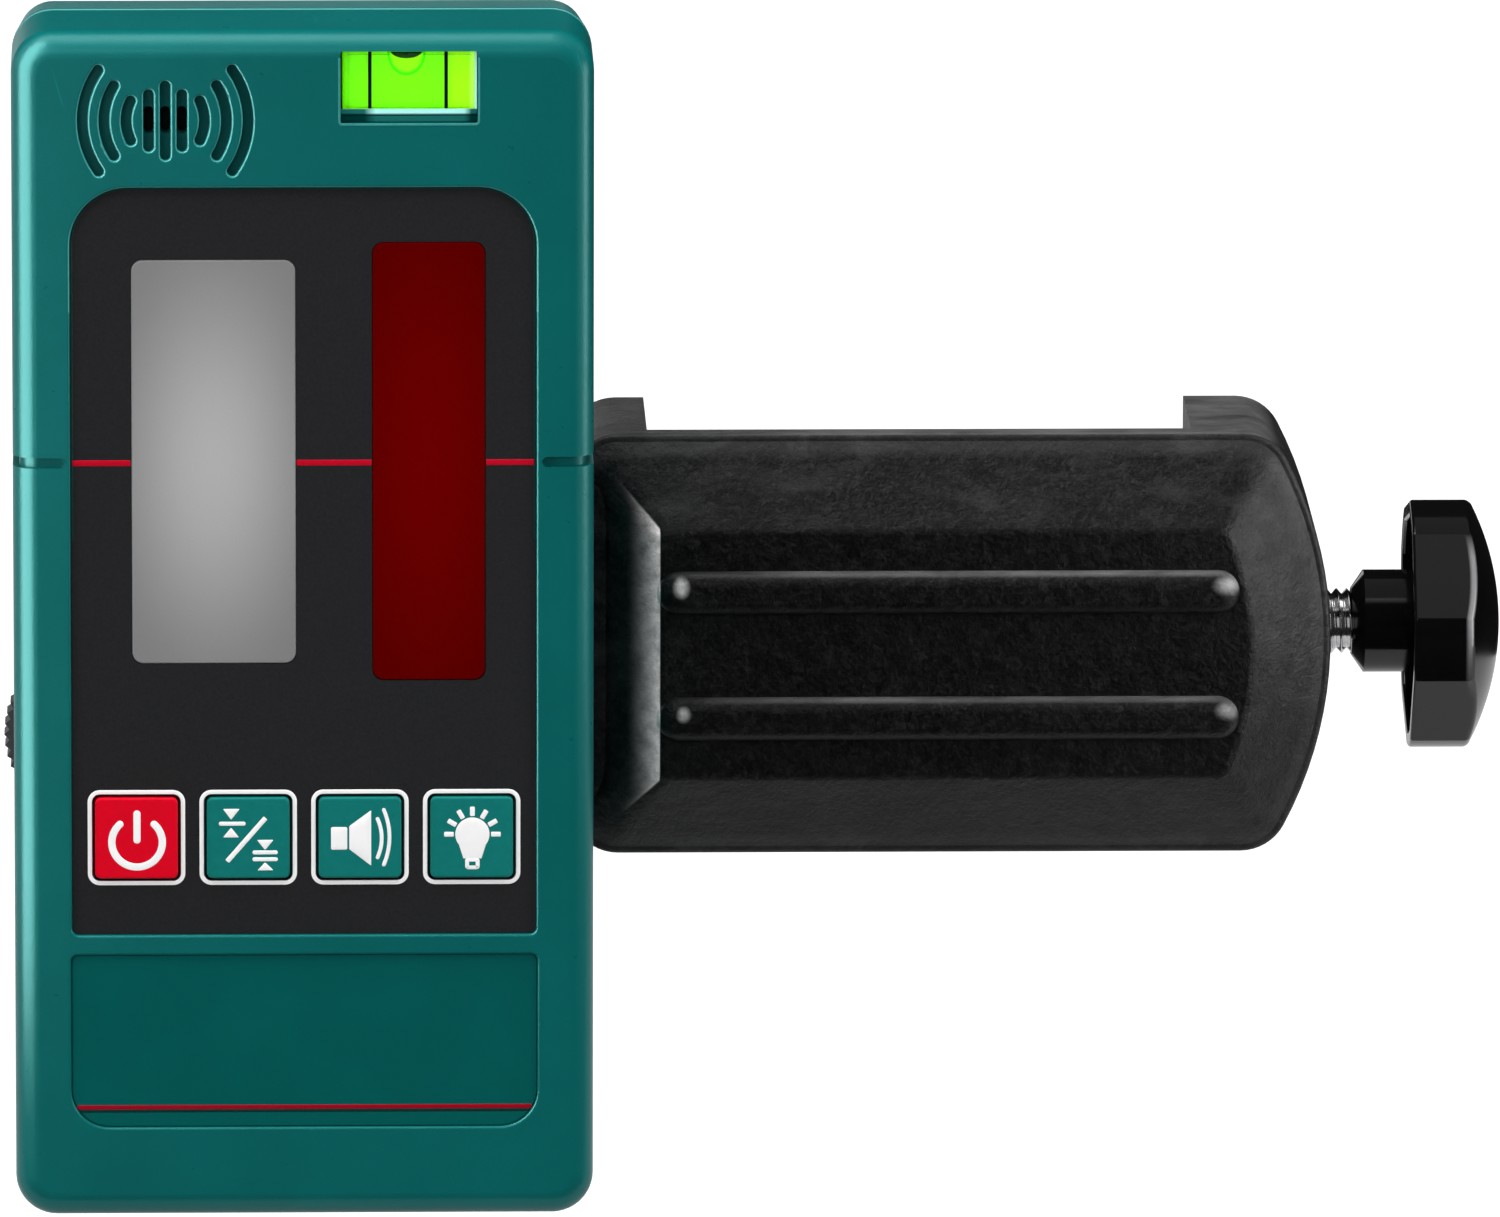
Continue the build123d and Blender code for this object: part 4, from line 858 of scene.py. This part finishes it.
# Red line low on the plate, and under it a dark line of painted shade
plateLines = {
    "faceY": -13.6, "square": 12,
    "plateRedLine": {"z": 13.75, "stroke": 0.54, "halfSpan": 27.5, "finish": "plateRed"},
    "plateShadeLine": {"z": 13.3, "stroke": 0.36, "halfSpan": 27.2, "finish": "shadeInk"},
}
for name in ("plateRedLine", "plateShadeLine"):
    line = plateLines[name]
    ends = [(-line["halfSpan"], line["z"]), (line["halfSpan"], line["z"])]
    stroke = strokeSurface(ends, line["stroke"], plateLines["faceY"], square=plateLines["square"])
    makePiece(name, [stroke], "receiver", line["finish"])
print("lines made")

# Vial: marks on the block's face, the window's lip, the liquid and its bubble
vialMarks = {"x": (8.05, 17.2), "z": (136.72, 143.66), "stroke": 0.42, "square": 8, "faceY": -13.2}
marks = [strokeSurface([(x, z) for z in vialMarks["z"]], vialMarks["stroke"], vialMarks["faceY"],
                       square=vialMarks["square"]) for x in vialMarks["x"]]
makePiece("vialMarks", marks, "receiver", "blackPrint")

# Moulded lip round the vial window in a painted-highlight teal, open where the window runs onto the case's
# rounded edge
windowLip = {"x": (4.38, 21.12), "z": (142.9, 134.88), "corner": 0.4, "trim": 10, "steps": (20, 8, 40),
             "stroke": 0.28, "faceY": -14.0}
lipStroke = strokeSurface(archPath(windowLip), windowLip["stroke"], windowLip["faceY"])
makePiece("windowLip", [lipStroke], "receiver", "lipHighlightTeal")

vialFill = {"centre": (12.75, -8.75, 140.0), "half": (8.0, 3.65, 3.63), "square": 0.05, "steps": (49, 96)}


def superellipsoid(look):
    # x = a c(v) c(u), y = b c(v) s(u), z = h s(v), with each sine and cosine raised to the squareness
    lat = np.linspace(-np.pi / 2, np.pi / 2, look["steps"][0])[:, None]
    lon = np.linspace(-np.pi, np.pi, look["steps"][1], endpoint=False)[None, :]
    power = look["square"]

    def signed(value):
        return np.sign(value) * np.abs(value) ** power

    level = np.abs(np.cos(lat)) ** power
    level[[0, -1]] = 0
    grid = np.empty((*look["steps"], 3))
    grid[..., 0] = look["centre"][0] + look["half"][0] * level * signed(np.cos(lon))
    grid[..., 1] = look["centre"][1] + look["half"][1] * level * signed(np.sin(lon))
    grid[..., 2] = look["centre"][2] + look["half"][2] * signed(np.sin(lat))
    return grid, False, True


def bubbleSurface(look):
    # half drum that hangs from the top wall, with scale = sqrt(1 - |y / reach|^flat) at depth y,
    # x = radius * scale * cos(v), z = top - drop * scale * sin(v); a straight line closes it along the top
    along = np.sin(np.linspace(-np.pi / 2, np.pi / 2, look["steps"][0]))[:, None]
    scale = np.sqrt(np.clip(1 - np.abs(along) ** look["flat"], 0, 1))
    turn = np.linspace(0, np.pi, look["steps"][1])[None, :]
    grid = np.empty((*look["steps"], 3))
    grid[..., 0] = look["top"][0] + look["radius"] * scale * np.cos(turn)
    grid[..., 1] = look["top"][1] + look["reach"] * along
    grid[..., 2] = look["top"][2] - look["drop"] * scale * np.sin(turn)
    return grid, False, True


liquid = makePiece("vialLiquid", [superellipsoid(vialFill)], "receiver", "vialLiquid")
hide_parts("vial_liquid")
bubble = makePiece("vialBubble", [bubbleSurface(bubbleShape)], "receiver", "vialAir")
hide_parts("vial_bubble")
print("vial made")

# Clamp screw with a real helix; the ridge's steepness and valley set the flats at its crest and root
screwLook = {"y": 29.7, "z": 64.3, "root": 3.35, "depth": 0.65, "pitch": 1.25, "thread": (73.2, 130.0),
             "swivel": (69.2, 70.8, 3.7), "neck": 2.5, "end": (140.0, 4.0), "perPitch": 14, "around": 60,
             "steepness": 1.15, "valley": 0.08}


def screwSurface(look):
    # radius = base(x) + depth * clamped triangle wave of (x / pitch - turn), a right-handed helix along X
    start, end = look["thread"]
    swivelStart, swivelEnd, swivelRadius = look["swivel"]
    endX, endRadius = look["end"]
    along = np.linspace(start, end, int((end - start) / look["pitch"] * look["perPitch"]))
    head = [(swivelStart, 0), (swivelStart, swivelRadius), (swivelEnd, swivelRadius),
            (swivelEnd, look["neck"]), (start, look["neck"])]
    core = np.stack([along, np.full(len(along), look["root"])], 1)
    tail = [(end, endRadius), (endX, endRadius), (endX, 0)]
    x, base = np.vstack([head, core, tail]).T
    runIn = np.clip((along - start) / look["pitch"], 0, 1)
    ridge = np.concatenate([np.zeros(len(head)), runIn, np.zeros(len(tail))])
    turn = np.linspace(0, 1, look["around"], endpoint=False)
    phase = (x[:, None] / look["pitch"] - turn[None, :]) % 1
    wave = np.clip(look["steepness"] * (1 - np.abs(2 * phase - 1)) - look["valley"], 0, 1)
    radius = base[:, None] + look["depth"] * ridge[:, None] * wave
    grid = np.empty((len(x), len(turn), 3))
    grid[..., 0] = x[:, None]
    grid[..., 1] = look["y"] + radius * np.cos(2 * np.pi * turn)
    grid[..., 2] = look["z"] + radius * np.sin(2 * np.pi * turn)
    return grid, False, True


screw = makePiece("clampThread", [screwSurface(screwLook)], "clamp_screw", "threadSteel")
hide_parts("clamp_screw")
print("thread made")

# Studio: floor, world, lamps, cards and a dark room, in metres but for the floor's farY in millimetres
stageSteps = 9
cardSteps = 5
flagBlack = (0.01, 0.01, 0.01)


def makeStage(name, grid, material):
    # stage surface from a grid of points
    mesh = bpy.data.meshes.new(name)
    mesh.from_pydata(grid.reshape(-1, 3).tolist(), [], gridFaces(*grid.shape[:2], False, False).tolist())
    mesh.materials.append(material)
    surface = bpy.data.objects.new(name, mesh)
    scene.collection.objects.link(surface)
    return surface


def makePaint(name, colour, glow=0.0):
    return makeFinish(name, {"colour": colour, "rough": 0.95, "sockets": {
        "Specular IOR Level": 0.0, "Emission Color": (1, 1, 1, 1), "Emission Strength": glow}})


def levelGrid(xEnds, yEnds, z):
    # level sheet of points between the ends in X and in Y
    x, y = np.linspace(*xEnds, stageSteps), np.linspace(*yEnds, stageSteps)
    return np.stack([*np.meshgrid(x, y, indexing="ij"), np.full((stageSteps, stageSteps), z)], -1)


def seenDirectly(tree, glossy):
    # 1 for camera and transmission rays, a share of it for glossy rays
    path = tree.nodes.new("ShaderNodeLightPath").outputs
    direct = combine(tree, "MAXIMUM", path["Is Camera Ray"], path["Is Transmission Ray"])
    return combine(tree, "MAXIMUM", direct, times(tree, path["Is Glossy Ray"], glossy))


floorLook = {"half": 5.0, "z": -0.04, "colour": (0.32, 0.32, 0.32), "glossy": 0.34, "nearWhite": 0.82,
             "farWhite": 1.0, "farY": (250.0, 700.0)}


def makeFloorPaint(look):
    # the floor glows more far behind the object, where the lamps no longer reach
    material = makePaint("floorPaint", look["colour"])
    tree = material.node_tree
    far = stepAt(tree, objectAxes(tree)["Y"], *look["farY"])
    white = remap(tree, far, 0.0, 1.0, look["nearWhite"], look["farWhite"])
    seen = seenDirectly(tree, look["glossy"])
    tree.links.new(times(tree, seen, white), shaderOf(material).inputs["Emission Strength"])
    return material


floorEnds = (-floorLook["half"], floorLook["half"])
makeStage("floor", levelGrid(floorEnds, floorEnds, floorLook["z"]), makeFloorPaint(floorLook))

studio = {"ambient": 0.2, "background": 1.0, "glossy": 1.0}
scene.world = bpy.data.worlds.new("studio")
scene.world.use_nodes = True
skyTree = scene.world.node_tree
sky = skyTree.nodes["Background"].inputs
sky["Color"].default_value = (1, 1, 1, 1)
skySeen = seenDirectly(skyTree, studio["glossy"])
skyTree.links.new(remap(skyTree, skySeen, 0.0, 1.0, studio["ambient"], studio["background"]), sky["Strength"])

lamps = {
    "topBox": {"at": (0.06, -0.15, 0.8), "size": (0.9, 0.45), "power": 9.2},
    "leftBox": {"at": (-0.9, -0.45, 0.42), "size": (0.35, 0.9), "power": 4.4},
    "rightBox": {"at": (1.05, -0.4, 0.4), "size": (0.35, 0.9), "power": 4.0},
    "frontFill": {"at": (0.0, -1.4, 0.7), "size": (1.0, 0.8), "power": 5.2},
}
lampTarget = Vector((0.05, 0.0, 0.075))
for name, lamp in lamps.items():
    light = bpy.data.lights.new(name, "AREA")
    light.shape = "RECTANGLE"
    light.size, light.size_y = lamp["size"]
    light.energy = lamp["power"]
    holder = bpy.data.objects.new(name, light)
    holder.location = lamp["at"]
    holder.rotation_euler = (lampTarget - Vector(lamp["at"])).to_track_quat("-Z", "Y").to_euler()
    holder.visible_glossy = False
    scene.collection.objects.link(holder)

# Cards that only gloss sees: pale ones for the highlights, and dark flags that keep black plastic black;
# a card with mirrors is seen by those nodes alone
cards = {
    "leftCard": {"at": (-0.088, -0.056, 0.15), "aim": (0.001, -0.01, 0.15), "size": (0.078, 0.28),
                 "glow": 13.0, "mirrors": ("front_shell", "rear_shell", "fixing_wheel")},
    "keyCard": {"at": (-0.164, -0.659, 0.475), "aim": (0.05, 0.0, 0.075), "size": (0.13, 0.13), "glow": 8.0},
    "rightCard": {"at": (0.25, -0.045, 0.099), "aim": (0.12, 0.013, 0.099), "size": (0.08, 0.12),
                  "glow": 5.6},
    "topCard": {"at": (-0.12, 0.0, 0.6), "aim": (-0.12, 0.0, 0.1), "size": (0.38, 0.3), "glow": 3.2},
    "ceilingCard": {"at": (0.4, 0.05, 0.62), "aim": (0.4, 0.05, 0.1), "size": (0.66, 0.6), "glow": 0.2},
    "edgeCard": {"at": (0.236, -0.159, 0.086), "aim": (0.034, -0.012, 0.086), "size": (0.13, 0.17),
                 "glow": 0.8},
    "caseFlag": {"at": (-0.36, 0.5, 0.78), "aim": (-0.36, 0.0, 0.78), "size": (0.87, 1.26), "glow": 0.0},
    "clampFlag": {"at": (0.46, 0.5, 0.84), "aim": (0.46, 0.0, 0.84), "size": (0.77, 1.16), "glow": 0.0},
    "rightFlag": {"at": (0.26, 0.2, 0.148), "aim": (0.13, 0.03, 0.093), "size": (0.5, 0.31), "glow": 0.0},
}


def makeGlossCard(name, grid, material):
    surface = makeStage(name, grid, material)
    surface.visible_camera = False
    surface.visible_diffuse = False
    surface.visible_shadow = False
    surface.visible_transmission = False
    return surface


for name, card in cards.items():
    spin = (Vector(card["aim"]) - Vector(card["at"])).to_track_quat("-Z", "Y").to_matrix()
    side, up = np.array(spin.col[0]), np.array(spin.col[1])
    reach = np.linspace(-0.5, 0.5, cardSteps)
    grid = (np.array(card["at"]) + reach[:, None, None] * card["size"][0] * side
            + reach[None, :, None] * card["size"][1] * up)
    surface = makeGlossCard(name, grid, makePaint(f"{name}Paint", flagBlack, card["glow"]))
    if "mirrors" in card:
        mirrors = bpy.data.collections.new(f"{name}Mirrors")
        for node in card["mirrors"]:
            mirrors.objects.link(cadNodes[node])
        surface.light_linking.receiver_collection = mirrors

# Dark room in front of the object, with one soft band of light high above the camera, and a dark apron
room = {"radius": 2.6, "top": 82.0, "band": (52.0, 62.0, 82.0, 87.0), "glow": 0.88, "steps": (33, 25),
        "apronY": -0.016, "apronZ": 0.0003}


def roomGrid(look):
    # part of a sphere: x = r cos(u) cos(v), y = r sin(u) cos(v), z = r sin(v), with u over the front half
    around = np.radians(np.linspace(180, 360, look["steps"][0]))[:, None]
    rise = np.radians(np.linspace(0, look["top"], look["steps"][1]))[None, :]
    return look["radius"] * np.stack([np.cos(around) * np.cos(rise), np.sin(around) * np.cos(rise),
                                      np.broadcast_to(np.sin(rise), look["steps"])], -1)


def makeRoomPaint(look):
    # dark, with the band lit between its angles of height
    material = makePaint("roomPaint", flagBlack)
    tree = material.node_tree
    edges = [look["radius"] / mm * math.sin(math.radians(turn)) for turn in look["band"]]
    lit = bandAt(tree, objectAxes(tree)["Z"], *edges)
    glow = remap(tree, lit, 0.0, 1.0, 0.0, look["glow"])
    tree.links.new(glow, shaderOf(material).inputs["Emission Strength"])
    return material


makeGlossCard("darkRoom", roomGrid(room), makeRoomPaint(room))
apronGrid = levelGrid((-room["radius"], room["radius"]), (room["apronY"], -room["radius"]), room["apronZ"])
makeGlossCard("darkApron", apronGrid, makePaint("apronPaint", flagBlack))
print("studio set")

# Camera: aim and distance in millimetres, angles in degrees, scale in photo pixels per millimetre,
# clipEnd in metres
view = {"aim": (53.81, -14.0, 75.42), "distance": 2400.0, "elevation": 12.1, "azimuth": -1.6, "roll": 0.164,
        "scale": 8.292, "width": 1500.0, "sensor": 36.0, "clipEnd": 50.0}
azimuth, elevation = math.radians(view["azimuth"]), math.radians(view["elevation"])
outward = Vector((math.sin(azimuth) * math.cos(elevation), -math.cos(azimuth) * math.cos(elevation),
                  math.sin(elevation)))
lens = bpy.data.cameras.new("camera")
lens.sensor_width = view["sensor"]
lens.lens = view["scale"] * view["distance"] * view["sensor"] / view["width"]
lens.clip_end = view["clipEnd"]
camera = bpy.data.objects.new("camera", lens)
spot = (Vector(view["aim"]) + outward * view["distance"]) * mm
facing = (-outward).to_track_quat("-Z", "Y").to_matrix().to_4x4()
camera.matrix_world = Matrix.Translation(spot) @ facing @ Matrix.Rotation(math.radians(view["roll"]), 4, "Z")
scene.collection.objects.link(camera)
scene.camera = camera
scene.view_settings.view_transform = "Standard"
print("camera set")

bpy.context.view_layer.update()
